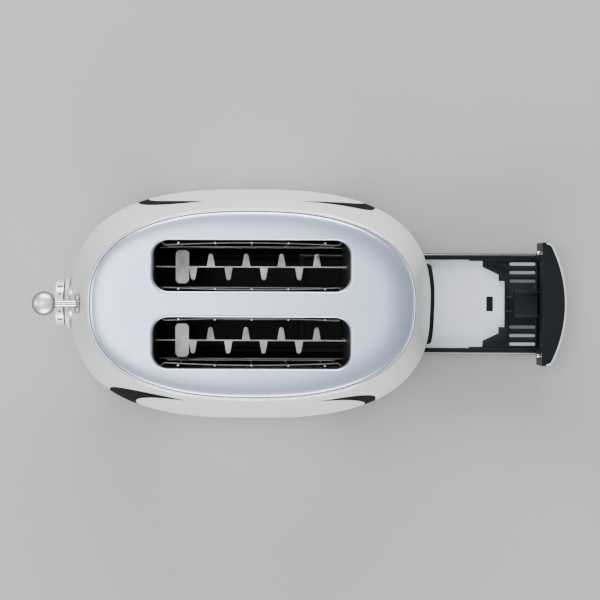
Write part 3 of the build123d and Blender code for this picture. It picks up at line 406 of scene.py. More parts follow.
class Finish:
    """A material under construction, with the noises that the finishes share."""

    def __init__(self, name):
        self.material = bpy.data.materials.new(name)
        self.material.use_nodes = True
        self.tree = self.material.node_tree
        self.shader = self.tree.nodes["Principled BSDF"]
        self.start = Wire(self.tree)
        self.place = self.start.node("ShaderNodeTexCoord", output="Object")

    def axis(self, name):
        """One of the object coordinates."""
        return self.start.node("ShaderNodeSeparateXYZ", None, {"Vector": self.place}, name)

    def aside(self):
        """Distance from the middle plane."""
        return self.start.maths("ABSOLUTE", self.axis("Y"))

    def mapped(self, **changes):
        """Object coordinates with their own Scale or Rotation."""
        return self.start.node("ShaderNodeMapping", None, {"Vector": self.place, **changes})

    def noise(self, scale, detail, roughness=0.5):
        """Noise with its repeats to the metre, or grain with a number of them for each axis."""
        place = self.place
        if isinstance(scale, tuple):
            place, scale = self.mapped(Scale=scale), 1.0
        inputs = {"Vector": place, "Scale": scale, "Detail": detail, "Roughness": roughness}
        return self.start.node("ShaderNodeTexNoise", None, inputs)

    def cells(self, scale, output="Distance"):
        """Distance from the middle of each cell, for a leathery grain, or each cell's colour."""
        inputs = {"Vector": self.place, "Scale": scale}
        return self.start.node("ShaderNodeTexVoronoi", None, inputs, output)

    def flakes(self, scale):
        """One random value for each cell, for crystals and flakes."""
        colours = self.cells(scale, "Color")
        return colours.node("ShaderNodeSeparateColor", None, {"Color": colours})

    def scratches(self, scale, turn):
        """Thin sparse lines at one turn, 1 on a scratch and 0 elsewhere."""
        inputs = {
            "Vector": self.mapped(Rotation=turn, Scale=(scale, scale * SCRATCH_NARROW, scale)),
            "Scale": 1.0,
            "Detail": 1.0,
        }
        lines = self.start.node("ShaderNodeTexNoise", None, inputs)
        return ((lines - SCRATCH_LEVEL) * SCRATCH_EDGE).limit()

    def bump(self, height, distance, strength):
        """Fine relief, its depth in metres."""
        inputs = {"Height": height, "Distance": distance, "Strength": strength}
        return self.start.node("ShaderNodeBump", None, inputs)

    def set(self, **values):
        """Sets or links the shader's inputs, such as base_color or roughness."""
        for name, value in values.items():
            socket = self.shader.inputs[name.replace("_", " ").title().replace("Ior", "IOR")]
            if isinstance(value, Wire):
                self.tree.links.new(value.socket, socket)
            elif socket.type == "RGBA":
                socket.default_value = colour4(value)
            else:
                socket.default_value = value
        return self.material


def satin_metal(name, colour, gloss, metal=1.0):
    """Blasted and lacquered metal: fine sparkle, soft cloudy tone and faint ripples."""
    finish = Finish(name)
    sparkle = finish.noise(SPARKLE, 2.0, 0.7)
    cloud = finish.noise(CLOUD, 3.0)
    tone = (cloud * 0.5 + sparkle * 0.5).blend(shade(colour, 0.9), shade(colour, 1.08))
    ripple = finish.noise(160.0, 2.0)
    height = sparkle * 0.6 + ripple * 0.4
    return finish.set(
        base_color=tone,
        metallic=metal,
        roughness=(sparkle - 0.5) * 0.1 + (cloud - 0.5) * 0.06 + gloss,
        normal=finish.bump(height, 0.04 * MM, 0.5),
    )


def plate_metal(name, colour):
    """Satin plate with painted shade where the deck covers it, darkest near the middle."""
    finish = Finish(name)
    sparkle = finish.noise(SPARKLE, 2.0, 0.7)
    cloud = finish.noise(CLOUD, 3.0)
    unshaded_plate = (cloud * 0.5 + sparkle * 0.5).blend(shade(colour, 0.92), shade(colour, 1.06))
    # Painted shade where the deck covers the plate, deepest near the middle
    outer = ((finish.aside() - DECK_SHADE_MIDDLE) / DECK_SHADE_SPREAD).limit()
    shade_under_deck = outer.blend(*DECK_SHADE)
    covered = ((finish.axis("X") - DECK_VENTS_X) / DECK_SHADE_EDGE).limit()
    return finish.set(
        base_color=covered.blend(unshaded_plate, shade_under_deck),
        metallic=0.15,
        roughness=(sparkle - 0.5) * 0.1 + 0.38,
        normal=finish.bump(sparkle, 0.04 * MM, 0.4),
    )


def ball_metal(name, colour):
    """Satin ball with a painted highlight on its crown and painted shade below."""
    finish = Finish(name)
    haze = finish.noise(60.0, 3.0)
    # Painted highlight: the ball's top is lighter and its lower part darker, as if lit from above
    lit_crown = ((finish.axis("Z") - BALL_HIGHLIGHT_Z) / BALL_HIGHLIGHT_FADE).limit()
    tone = lit_crown.blend(shade(colour, 0.3), shade(colour, 1.2))
    return finish.set(
        base_color=tone,
        metallic=lit_crown * -0.5 + 1.0,
        roughness=haze * 0.08 + 0.3,
        normal=finish.bump(haze, 0.02 * MM, 0.3),
    )


def brushed_metal(name, colour, gloss, along, metal=1.0):
    """Metal brushed along one axis, with a few fine scratches."""
    finish = Finish(name)
    brush = finish.noise(along, 3.0, 0.6)
    cloud = finish.noise(30.0, 2.0)
    marks = finish.scratches(900.0, (0.3, 0.2, 0.9))
    tone = (brush * 0.6 + cloud * 0.4).blend(shade(colour, 0.86), shade(colour, 1.1))
    return finish.set(
        base_color=tone,
        metallic=metal,
        roughness=(brush - 0.5) * 0.16 + marks * 0.12 + gloss,
        normal=finish.bump(brush + marks * 0.3, 0.03 * MM, 0.4),
    )


def turned_bezel(name, colour):
    """Turned metal with painted shade on its face where the dial stands before it, for the gap
    between them.
    """
    finish = Finish(name)
    brush = finish.noise(BEZEL_BRUSH, 3.0, 0.6)
    # Painted shade: the bezel's face behind the dial is dark, for the shadowed gap between them
    outside_gap_shade = ((finish.axis("X") - BEZEL_SHADE_X) / BEZEL_SHADE_EDGE).limit()
    metal = brush.blend(shade(colour, 0.86), shade(colour, 1.1))
    return finish.set(
        base_color=outside_gap_shade.blend(GAP_SHADE, metal),
        metallic=outside_gap_shade * 0.6,
        roughness=(brush - 0.5) * 0.16 + 0.36,
        normal=finish.bump(brush, 0.03 * MM, 0.4),
    )


def polished_metal(name, colour, gloss=0.08):
    """Bright plated metal with faint wiping marks."""
    finish = Finish(name)
    haze = finish.noise(45.0, 3.0)
    marks = finish.scratches(1400.0, (0.2, 0.5, 1.1))
    return finish.set(
        base_color=haze.blend(shade(colour, 0.94), colour),
        metallic=1.0,
        roughness=haze * 0.06 + marks * 0.14 + (gloss - 0.03),
        normal=finish.bump(marks, 0.01 * MM, 0.3),
    )


def gloss_moulding(name, colour, gloss=0.12):
    """Black gloss plastic with a very fine ripple and dust-fine specks in its gloss."""
    finish = Finish(name)
    ripple = finish.noise(70.0, 2.0)
    specks = finish.noise(3200.0, 1.0)
    return finish.set(
        base_color=ripple.blend(colour, shade(colour, 1.8)),
        roughness=(specks - 0.5) * 0.08 + ripple * 0.05 + gloss,
        specular_ior_level=0.0,
        coat_weight=0.07,
        coat_roughness=0.12,
        normal=finish.bump(ripple, 0.03 * MM, 0.25),
    )


def grained_moulding(name, colour, gloss, glossy_from=None):
    """Moulded plastic with a fine leathery grain, worn glossy beyond a distance aside."""
    finish = Finish(name)
    grain = finish.cells(1500.0)
    cloud = finish.noise(24.0, 3.0)
    worn = 0.0
    if glossy_from is not None:
        worn = ((finish.aside() - glossy_from) / MM).limit() * 0.9
    return finish.set(
        base_color=(cloud * 0.7 + grain * 0.3).blend(shade(colour, 0.8), shade(colour, 1.7)),
        roughness=grain * 0.14 + cloud * 0.08 + (gloss - 0.1),
        specular_ior_level=0.15,
        coat_weight=worn,
        coat_roughness=0.2,
        normal=finish.bump(grain, 0.08 * MM, 0.5),
    )


def rubber(name):
    """Soft dark rubber with a dusty bloom."""
    finish = Finish(name)
    grain = finish.noise(1200.0, 3.0)
    dust = ((finish.noise(60.0, 4.0) - 0.45) * 2.2).limit()
    return finish.set(
        base_color=dust.blend((0.018, 0.018, 0.018), (0.055, 0.053, 0.05)),
        roughness=grain * 0.2 + 0.65,
        normal=finish.bump(grain, 0.1 * MM, 0.5),
    )


def zinc_sheet(name):
    """Zinc-coated sheet with a faint crystal pattern."""
    finish = Finish(name)
    flake = finish.flakes(260.0)
    grain = finish.noise(ZINC_GRAIN, 2.0)
    return finish.set(
        base_color=(flake * 0.6 + grain * 0.4).blend(shade(ZINC, 0.75), shade(ZINC, 1.2)),
        metallic=1.0,
        roughness=flake * 0.14 + grain * 0.08 + 0.26,
        normal=finish.bump(grain, 0.03 * MM, 0.3),
    )


def heated_steel(name, colour, tint, gloss=0.42):
    """Steel that has been hot: straw and brown patches over a drawn grain."""
    finish = Finish(name)
    patch = ((finish.noise(38.0, 4.0, 0.6) - 0.42) * 3.0).limit()
    grain = finish.noise(DRAWN_GRAIN, 2.0)
    return finish.set(
        base_color=(patch * 0.6).blend(colour, tint),
        metallic=0.9,
        roughness=patch * 0.16 + grain * 0.12 + (gloss - 0.1),
        normal=finish.bump(grain, 0.04 * MM, 0.35),
    )


def mica_board(name):
    """Layered mica: pale brown flakes with dark specks."""
    finish = Finish(name)
    flake = finish.flakes(420.0)
    specks = ((finish.noise(900.0, 2.0) - 0.6) * 8.0).limit()
    body = flake.blend((0.36, 0.29, 0.2), (0.5, 0.43, 0.32))
    return finish.set(
        base_color=(specks * 0.7).blend(body, (0.12, 0.09, 0.06)),
        roughness=flake * 0.2 + 0.45,
        normal=finish.bump(flake, 0.06 * MM, 0.5),
    )


def circuit_board(name):
    """Green lacquered board with paler tracks."""
    finish = Finish(name)
    tracks = finish.start.node(
        "ShaderNodeTexBrick",
        {"offset": 0.35},
        {
            "Vector": finish.place,
            "Scale": 150.0,
            "Mortar Size": 0.09,
            "Color1": (0.0, 0.0, 0.0, 1.0),
            "Color2": (0.15, 0.15, 0.15, 1.0),
            "Mortar": (1.0, 1.0, 1.0, 1.0),
        },
        output="Fac",
    )
    cloud = finish.noise(60.0, 2.0)
    body = (tracks * 0.8).blend((0.02, 0.11, 0.05), (0.09, 0.25, 0.12))
    return finish.set(
        base_color=(cloud * 0.25).blend(body, (0.015, 0.07, 0.035)),
        roughness=cloud * 0.15 + 0.28,
        normal=finish.bump(tracks, 0.03 * MM, 0.5),
    )


def wound_copper(name):
    """Enamelled wire wound round the magnet."""
    finish = Finish(name)
    turns = finish.start.node(
        "ShaderNodeTexWave",
        {"wave_type": "BANDS", "bands_direction": "Z"},
        {"Vector": finish.place, "Scale": 380.0, "Distortion": 0.3},
    )
    return finish.set(
        base_color=turns.blend((0.16, 0.05, 0.02), (0.58, 0.25, 0.1)),
        metallic=0.85,
        roughness=turns * 0.1 + 0.26,
        normal=finish.bump(turns, 0.2 * MM, 0.6),
    )


def printed_ink(name):
    """Black ink of the dial's numbers, slightly worn."""
    finish = Finish(name)
    wear = ((finish.noise(700.0, 3.0) - 0.55) * 4.0).limit()
    return finish.set(
        base_color=(wear * 0.4).blend((0.012, 0.012, 0.012), (0.07, 0.07, 0.07)),
        roughness=wear * 0.2 + 0.5,
        specular_ior_level=0.1,
    )


# Pieces


def linked(name, data):
    """New object in the scene."""
    thing = bpy.data.objects.new(name, data)
    bpy.context.collection.objects.link(thing)
    return thing


def plain_mesh(thing):
    """Plain mesh of what an object makes. The object itself is then removed."""
    bpy.context.view_layer.update()
    graph = bpy.context.evaluated_depsgraph_get()
    mesh = bpy.data.meshes.new_from_object(thing.evaluated_get(graph), depsgraph=graph)
    bpy.data.objects.remove(thing)
    return mesh


def shape_mesh(name, shape):
    """New mesh of a shape under construction."""
    mesh = bpy.data.meshes.new(name)
    shape.to_mesh(mesh)
    shape.free()
    return mesh


def merged_copy(node, flatten=False):
    """Welded smooth copy of a frame node's mesh, with its flat areas joined on request."""
    mesh = frame["nodes"][node].data.copy()
    mesh.name = node
    shape = bmesh.new()
    shape.from_mesh(mesh)
    bmesh.ops.remove_doubles(shape, verts=shape.verts, dist=WELD)
    if flatten:
        bmesh.ops.dissolve_limit(
            shape, angle_limit=FLAT_ANGLE, verts=shape.verts, edges=shape.edges
        )
    shape.to_mesh(mesh)
    shape.free()
    mesh.polygons.foreach_set("use_smooth", [True] * len(mesh.polygons))
    mesh.materials.clear()
    return mesh


def add_piece(name, mesh, material, stands_for):
    """Links a mesh as a piece that rides with, and stands for, frame nodes of one body."""
    piece = linked(name, mesh)
    if material is not None:
        mesh.materials.clear()
        mesh.materials.append(material)
    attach(piece, BODY_OF[stands_for[0]])
    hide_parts(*stands_for)
    return piece


def paint(material, *nodes):
    """Gives frame nodes a finish where they stay as they are."""
    for node in nodes:
        mesh = frame["nodes"][node].data
        mesh.materials.clear()
        mesh.materials.append(material)


def smooth_skin(node, material, crease=CREASE):
    """Smooth-shaded copy of a curved frame node, with hard edges above the crease angle."""
    mesh = merged_copy(node)
    mesh.set_sharp_from_angle(angle=radians(crease))
    piece = add_piece(node + "_skin", mesh, material, [node])
    weight = piece.modifiers.new("Even shading", "WEIGHTED_NORMAL")
    weight.keep_sharp = True


def rounded_block(node, material, radius):
    """Copy of a flat-sided frame node whose hard edges are lightly rounded."""
    mesh = merged_copy(node, flatten=True)
    piece = add_piece(node + "_skin", mesh, material, [node])
    bevel = piece.modifiers.new("Rounded edges", "BEVEL")
    bevel.width = radius
    bevel.segments = 2
    bevel.limit_method = "ANGLE"
    bevel.angle_limit = radians(FINE_CREASE)
    bevel.harden_normals = True
    bevel.use_clamp_overlap = True


def shell_size(z):
    """Half length, half width and roundness of the shell at heights z."""
    climb = np.clip((z - BELLY_Z) / (RIM_Z - BELLY_Z), 0.0, 1.0)
    spread = (1 - climb**SHOULDER_POWER) ** (1 / SHOULDER_POWER)
    drop = np.clip((BELLY_Z - z) / (BELLY_Z - SKIRT_Z), 0.0, 1.5)
    reach = SHOULDER_REACH * spread - SKIRT_DRAW * drop**2
    roundness = RIM_ROUNDNESS + (BELLY_ROUNDNESS - RIM_ROUNDNESS) * spread
    return RIM_HALF_LENGTH + reach, RIM_HALF_WIDTH + reach, roundness


def panel_size(z):
    """Half length, half width and roundness of the top panel's roll at heights z."""
    rise = np.clip((z - RIM_Z) / PANEL_CROWN, 0.0, 1.0)
    inset = PANEL_INSET + PANEL_ROLL * (1 - np.sqrt(1 - rise**2))
    return RIM_HALF_LENGTH - inset, RIM_HALF_WIDTH - inset, np.full_like(z, RIM_ROUNDNESS)


def oval_excess(points, size_at):
    """How far points lie outside an oval body, as a share of its width."""
    half_length, half_width, roundness = size_at(points[:, 2])
    across = np.abs(points[:, 0]) / half_length
    along = np.abs(points[:, 1]) / half_width
    return (across**roundness + along**roundness) ** (1 / roundness) - 1


def table(items, name, width=3):
    """A value of each item of a mesh, a row for each. One column comes as whole numbers."""
    values = np.zeros(len(items) * width)
    items.foreach_get(name, values)
    return values.reshape(-1, width) if width > 1 else values.astype(int)


def oval_slope(points, size_at, low, high):
    """How steeply the excess grows along each axis, at points from low to high."""
    slope = np.zeros_like(points)
    for axis in range(3):
        ahead, behind = points.copy(), points.copy()
        ahead[:, axis] += SLOPE_STEP
        behind[:, axis] -= SLOPE_STEP
        for end in (ahead, behind):
            end[:, 2] = np.clip(end[:, 2], low, high)
        rise = oval_excess(ahead, size_at) - oval_excess(behind, size_at)
        slope[:, axis] = rise / (ahead[:, axis] - behind[:, axis])
    return slope


def lay_true_normals(mesh, size_at, low, high):
    """Shades the loops on an oval body's surface with that surface's own normals."""
    points = table(mesh.vertices, "co")[table(mesh.loops, "vertex_index", 1)]
    normals = table(mesh.corner_normals, "vector")
    sides = table(mesh.polygons, "loop_total", 1)
    faces = np.repeat(table(mesh.polygons, "normal"), sides, axis=0)
    inside = points.copy()
    inside[:, 2] = np.clip(points[:, 2], low, high)
    slope = oval_slope(inside, size_at, low, high)
    slope /= np.linalg.norm(slope, axis=1)[:, None]
    outward = slope[:, :2].max(axis=1).clip(LEAST_SLOPE)
    distance = oval_excess(inside, size_at) * RIM_HALF_WIDTH * outward
    on_surface = np.abs(distance) < SURFACE_REACH
    on_surface &= (slope * faces).sum(axis=1) > SURFACE_FACING
    on_surface &= points[:, 2] >= low - SLOPE_STEP
    on_surface &= points[:, 2] <= high + SLOPE_STEP
    normals[on_surface] = slope[on_surface]
    mesh.normals_split_custom_set(normals.tolist())


def shell_skin(node, material, size_at, low, high, grid=0.0):
    """Copy of a node that follows the oval body, shaded as the true curved surface."""
    mesh = merged_copy(node)
    if grid:
        cut_grid(mesh, grid)
    mesh.set_sharp_from_angle(angle=radians(SHELL_CREASE))
    lay_true_normals(mesh, size_at, low, high)
    return add_piece(node + "_skin", mesh, material, [node])


def panel_rim_size(z):
    """Half length, half width and roundness of the panel's outer edge."""
    return panel_size(np.full_like(z, RIM_Z))


def cut_grid(mesh, pitch):
    """Cuts the level upper faces of a mesh along a square grid."""
    shape = bmesh.new()
    shape.from_mesh(mesh)
    for along, half in (((1, 0, 0), RIM_HALF_LENGTH), ((0, 1, 0), RIM_HALF_WIDTH)):
        count = int(half / pitch)
        for step in range(-count, count + 1):
            level = [face for face in shape.faces if face.normal.z > LEVEL]
            edges = {edge for face in level for edge in face.edges}
            points = {point for face in level for point in face.verts}
            bmesh.ops.bisect_plane(
                shape,
                geom=[*points, *edges, *level],
                dist=5 * WELD,
                plane_co=Vector(along) * ((step + 0.5) * pitch),
                plane_no=along,
            )
    shape.to_mesh(mesh)
    shape.free()


def soften_panel(mesh):
    """Shades the panel's edge as a wide soft roll that runs out in its level middle."""
    normals = [corner.vector.copy() for corner in mesh.corner_normals]
    loops = []
    for polygon in mesh.polygons:
        level = polygon.normal.z > LEVEL
        for loop in polygon.loop_indices:
            place = mesh.vertices[mesh.loops[loop].vertex_index].co
            if place.z > RIM_Z and polygon.normal.z > FACING_UP:
                loops.append((loop, level, place))
    points = np.array([place[:] for _, _, place in loops])
    slope = oval_slope(points, panel_rim_size, RIM_Z, RIM_Z + PANEL_CROWN)[:, :2]
    steepness = np.linalg.norm(slope, axis=1).clip(LEAST_STEEPNESS)
    depth = -oval_excess(points, panel_rim_size) / steepness
    share = (depth / PANEL_SOFT_ROLL).clip(PANEL_SOFT_EDGE, 1)
    fall = PANEL_SOFT_CROWN / PANEL_SOFT_ROLL * (1 - share) / np.sqrt(1 - (1 - share) ** 2)
    for (loop, level, _), inward, (east, north), steep, down in zip(
        loops, depth, slope, steepness, fall
    ):
        if level or inward < PANEL_ROLL + PANEL_INSET:
            normals[loop] = Vector((east / steep * down, north / steep * down, 1)).normalized()
    mesh.normals_split_custom_set(normals)


# Geometry node trees


def new_tree(name, sizes):
    """Geometry tree with named sizes and a material, and its inputs as wires."""
    tree = bpy.data.node_groups.new(name, "GeometryNodeTree")
    tree.interface.new_socket("Geometry", in_out="INPUT", socket_type="NodeSocketGeometry")
    for label, value in sizes.items():
        kind = "NodeSocketInt" if isinstance(value, int) else "NodeSocketFloat"
        tree.interface.new_socket(label, in_out="INPUT", socket_type=kind).default_value = value
    tree.interface.new_socket("Material", in_out="INPUT", socket_type="NodeSocketMaterial")
    tree.interface.new_socket("Geometry", in_out="OUTPUT", socket_type="NodeSocketGeometry")
    entry = tree.nodes.new("NodeGroupInput")
    return tree, {socket.name: Wire(tree, socket) for socket in entry.outputs if socket.name}


def closed(tree, shape, material):
    """The tree, ended with real geometry in one material."""
    real = shape.node("GeometryNodeRealizeInstances", None, {"Geometry": shape})
    painted = real.node(
        "GeometryNodeSetMaterial", None, {"Geometry": real, "Material": material}
    )
    leave = tree.nodes.new("NodeGroupOutput")
    tree.links.new(painted.socket, leave.inputs["Geometry"])
    return tree


def round_tube(curve, radius, sides):
    """Smooth closed tube along a curve."""
    ring = curve.node(
        "GeometryNodeCurvePrimitiveCircle", None, {"Resolution": sides, "Radius": radius}
    )
    tube = curve.node(
        "GeometryNodeCurveToMesh", None, {"Curve": curve, "Profile Curve": ring, "Fill Caps": True}
    )
    return tube.node("GeometryNodeSetShadeSmooth", None, {"Geometry": tube, "Shade Smooth": True})


def wire_tree():
    """Turns the edges of a mesh into round wire with bent corners."""
    sizes = {"Wire radius": WIRE_RADIUS, "Bend radius": BEND_RADIUS}
    tree, given = new_tree("Bent wire", sizes)
    start = given["Geometry"]
    path = start.node("GeometryNodeMeshToCurve", None, {"Mesh": start})
    inputs = {"Radius": given["Bend radius"], "Count": BEND_STEPS, "Limit Radius": True}
    bent = path.node("GeometryNodeFilletCurve", {"mode": "POLY"}, {"Curve": path, **inputs})
    tube = round_tube(bent, given["Wire radius"], WIRE_SIDES)
    return closed(tree, tube, given["Material"])


def row_tree():
    """Repeats a mesh along X."""
    tree, given = new_tree("Row of turns", {"Count": RIBBON_TURNS, "Pitch": RIBBON_PITCH})
    start = given["Geometry"]
    first = (given["Count"] - 1.0) * given["Pitch"] * -0.5
    begin = start.node("ShaderNodeCombineXYZ", None, {"X": first})
    step = start.node("ShaderNodeCombineXYZ", None, {"X": given["Pitch"]})
    inputs = {"Count": given["Count"], "Start Location": begin, "Offset": step}
    line = start.node("GeometryNodeMeshLine", None, inputs)
    inputs = {"Points": line, "Instance": start}
    turns = start.node("GeometryNodeInstanceOnPoints", None, inputs)
    return closed(tree, turns, given["Material"])


def spring_tree():
    """Round wire wound as a coil spring that stands on the starting mesh's one point."""
    sizes = {
        "Coil radius": SPRING_RADIUS,
        "Height": SPRING_HEIGHT,
        "Turns": SPRING_TURNS,
        "Wire radius": SPRING_WIRE / 2,
    }
    tree, given = new_tree("Coil spring", sizes)
    start = given["Geometry"]
    inputs = {
        "Resolution": SPRING_STEPS,
        "Rotations": given["Turns"],
        "Start Radius": given["Coil radius"],
        "End Radius": given["Coil radius"],
        "Height": given["Height"],
    }
    coil = start.node("GeometryNodeCurveSpiral", None, inputs)
    tube = round_tube(coil, given["Wire radius"], SPRING_SIDES)
    inputs = {"Points": start, "Instance": tube}
    placed = start.node("GeometryNodeInstanceOnPoints", None, inputs)
    return closed(tree, placed, given["Material"])


def grown(name, mesh, tree, values):
    """The plain mesh that a geometry tree makes from a starting mesh."""
    seed = linked(name + "_seed", mesh)
    modifier = seed.modifiers.new("Grow", "NODES")
    modifier.node_group = tree
    for socket in tree.interface.items_tree:
        if socket.in_out == "INPUT" and socket.name in values:
            modifier[socket.identifier] = values[socket.name]
    result = plain_mesh(seed)
    result.name = name
    return result


def edge_mesh(name, paths):
    """Mesh of loose edges along several paths of points."""
    points = []
    edges = []
    for path in paths:
        first = len(points)
        points.extend(path)
        edges.extend((first + step, first + step + 1) for step in range(len(path) - 1))
    mesh = bpy.data.meshes.new(name)
    mesh.from_pydata(points, edges, [])
    return mesh


def guide_paths(y, outward, uprights):
    """Paths of one bread guide's wires: pivot, low wire, hooked bowed wire and uprights."""
    upright_y = y + outward * GUIDE_WELD
    end = GUIDE_HALF_LENGTH
    hook = end + GUIDE_HOOK
    bow = []
    for step in range(-GUIDE_BOW_STEPS, GUIDE_BOW_STEPS + 1):
        share = step / GUIDE_BOW_STEPS
        bow.append((end * share, y + outward * GUIDE_BOW * (1 - share**2), GUIDE_BOW_Z))
    first, last = ((x, y + outward * GUIDE_HOOK, GUIDE_BOW_Z) for x in (-hook, hook))
    paths = [
        [(-GUIDE_PIVOT_END, y, GUIDE_PIVOT_Z), (GUIDE_PIVOT_END, y, GUIDE_PIVOT_Z)],
        [(-end, y, GUIDE_LOW_Z), (end, y, GUIDE_LOW_Z)],
        [first, *bow, last],
    ]
    for place in range(uprights):
        x = (place - (uprights - 1) / 2) * GUIDE_PITCH
        paths.append([(x, upright_y, GUIDE_PIVOT_Z), (x, upright_y, GUIDE_TOP_Z)])
    return paths


def ribbon_turn(y, width):
    """One slanted turn of flat ribbon round a heater board."""
    half = HEATER_BOARD / 2 + RIBBON_CLEAR
    low = HEATER_Z - RIBBON_CLEAR
    high = HEATER_Z + HEATER_HEIGHT + RIBBON_CLEAR
    lean = RIBBON_PITCH * RIBBON_LEAN
    corners = [
        (-lean / 2, y - half, low),
        (lean / 2, y - half, high),
        (lean / 2, y + half, high),
        (-lean / 2, y + half, low),
    ]
    shape = bmesh.new()
    near = [shape.verts.new((x - width / 2, py, z)) for x, py, z in corners]
    far = [shape.verts.new((x + width / 2, py, z)) for x, py, z in corners]
    for index in range(4):
        after = (index + 1) % 4
        shape.faces.new((near[index], near[after], far[after], far[index]))
    bmesh.ops.solidify(shape, geom=shape.faces[:], thickness=RIBBON_SHEET)
    bmesh.ops.recalc_face_normals(shape, faces=shape.faces[:])
    return shape_mesh("ribbon_turn", shape)


def wrapped_text(text, height, turn, material):
    """Mesh of one dial mark, wrapped on the dial's side at a turn from the top."""
    curve = bpy.data.curves.new("mark_" + text, "FONT")
    curve.body = text
    curve.size = height
    curve.align_x = "CENTER"
    curve.align_y = "CENTER"
    curve.extrude = MARK_DEPTH
    curve.offset = MARK_STROKE
    mesh = plain_mesh(linked("mark_" + text, curve))
    for vertex in mesh.vertices:
        angle = turn - vertex.co.x / DIAL_RADIUS
        radius = DIAL_RADIUS + vertex.co.z + MARK_LIFT
        vertex.co = Vector(
            (DIAL_MARK_X + vertex.co.y, radius * sin(angle), DIAL_Z + radius * cos(angle))
        )
    mesh.materials.clear()
    mesh.materials.append(material)
    return mesh


def joined(name, meshes):
    """One mesh made of several."""
    shape = bmesh.new()
    for mesh in meshes:
        shape.from_mesh(mesh)
    result = shape_mesh(name, shape)
    for material in meshes[0].materials:
        result.materials.append(material)
    return result


# Operators


class TOASTER_OT_shell(Operator):
    """Add the satin shell, its black inlays and the rear band"""

    bl_idname = "toaster.shell"
    bl_label = "Shell and inlays"

    def execute(self, context):
        finish = context.scene.toaster_finish
        satin = satin_metal("satin shell", finish.shell, finish.shell_gloss, metal=0.3)
        black = gloss_moulding("black inlay", shade(finish.black, 0.4))
        shell_skin("outer_shell", satin, shell_size, SKIRT_Z, RIM_Z)
        for place in ("front_left", "front_right", "rear_left", "rear_right"):
            shell_skin("horn_inlay_" + place, black, shell_size, SKIRT_Z, RIM_Z)
        rounded_block("rear_band", grained_moulding("band", finish.black, 0.4), 0.8 * MM)
        return {"FINISHED"}


class TOASTER_OT_panel(Operator):
    """Add the top panel with its slots and the bright bead round it"""

    bl_idname = "toaster.panel"
    bl_label = "Top panel and bead"

    def execute(self, context):
        finish = context.scene.toaster_finish
        satin = satin_metal("satin panel", finish.panel, 0.36, metal=0.85)
        panel = shell_skin(
            "top_panel", satin, panel_size, RIM_Z, RIM_Z + PANEL_CROWN, PANEL_GRID
        )
        soften_panel(panel.data)
        smooth_skin("trim_bead", polished_metal("bright bead", finish.bright, 0.12))
        return {"FINISHED"}


class TOASTER_OT_lever(Operator):
    """Add the ball lever with its rod and shield"""

    bl_idname = "toaster.lever"
    bl_label = "Lever"

    def execute(self, context):
        finish = context.scene.toaster_finish
        smooth_skin("lever_ball", ball_metal("satin ball", finish.bright))
        smooth_skin("lever_rod", polished_metal("bright lever", finish.bright))
        smooth_skin("lever_shield", satin_metal("shield steel", shade(finish.bright, 0.4), 0.5))
        return {"FINISHED"}


class TOASTER_OT_dial(Operator):
    """Add the browning dial with its numbers and dots, and the bezel behind it"""

    bl_idname = "toaster.dial"
    bl_label = "Browning dial"

    def execute(self, context):
        finish = context.scene.toaster_finish
        marks = context.scene.toaster_marks
        metal = brushed_metal("turned dial", finish.bright, 0.4, DIAL_BRUSH, metal=0.55)
        smooth_skin("browning_dial", metal)
        smooth_skin("dial_bezel", turned_bezel("turned bezel", finish.bright), FINE_CREASE)
        paint(brushed_metal("shaft", SHAFT_STEEL, 0.3, SHAFT_BRUSH), "dial_shaft")
        ink = printed_ink("dial ink")
        meshes = []
        for place in range(marks.count):
            turn = (place - (marks.count - 1) / 2) * marks.pitch
            meshes.append(wrapped_text(str(place + 1), marks.height, turn, ink))
            if place + 1 < marks.count:
                dot = turn + marks.pitch / 2
                meshes.append(wrapped_text("•", marks.height * DOT_SHARE, dot, ink))
        piece = linked("dial_marks", joined("dial_marks", meshes))
        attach(piece, BODY_OF["browning_dial"])
        return {"FINISHED"}


class TOASTER_OT_guides(Operator):
    """Add the wire cages that centre the bread"""

    bl_idname = "toaster.guides"
    bl_label = "Bread guides"

    def execute(self, context):
        wires = context.scene.toaster_wires
        tree = wire_tree()
        steel = brushed_metal("drawn wire", DRAWN_WIRE, 0.3, WIRE_BRUSH)
        values = {
            "Wire radius": wires.guide_radius,
            "Bend radius": wires.guide_bend,
            "Material": steel,
        }
        for slot, slot_name in ((SLOT_Y, "left"), (-SLOT_Y, "right")):
            for outward, side in ((1, "a"), (-1, "b")):
                node = f"bread_guide_{slot_name}_{side}"
                paths = guide_paths(slot + outward * GUIDE_OFFSET, outward, wires.guide_uprights)
                mesh = grown(node, edge_mesh(node, paths), tree, values)
                add_piece(node + "_wires", mesh, None, [node])
        return {"FINISHED"}


class TOASTER_OT_racks(Operator):
    """Add the bread racks and the bracket that carries them"""

    bl_idname = "toaster.racks"
    bl_label = "Bread racks"

    def execute(self, context):
        steel = heated_steel("rack steel", *RACK_STEEL, 0.4)
        for side in ("left", "right"):
            smooth_skin("bread_rack_" + side, steel, FINE_CREASE)
        paint(zinc_sheet("bracket sheet"), "carriage_bracket", "armature", "guide_rod")
        return {"FINISHED"}


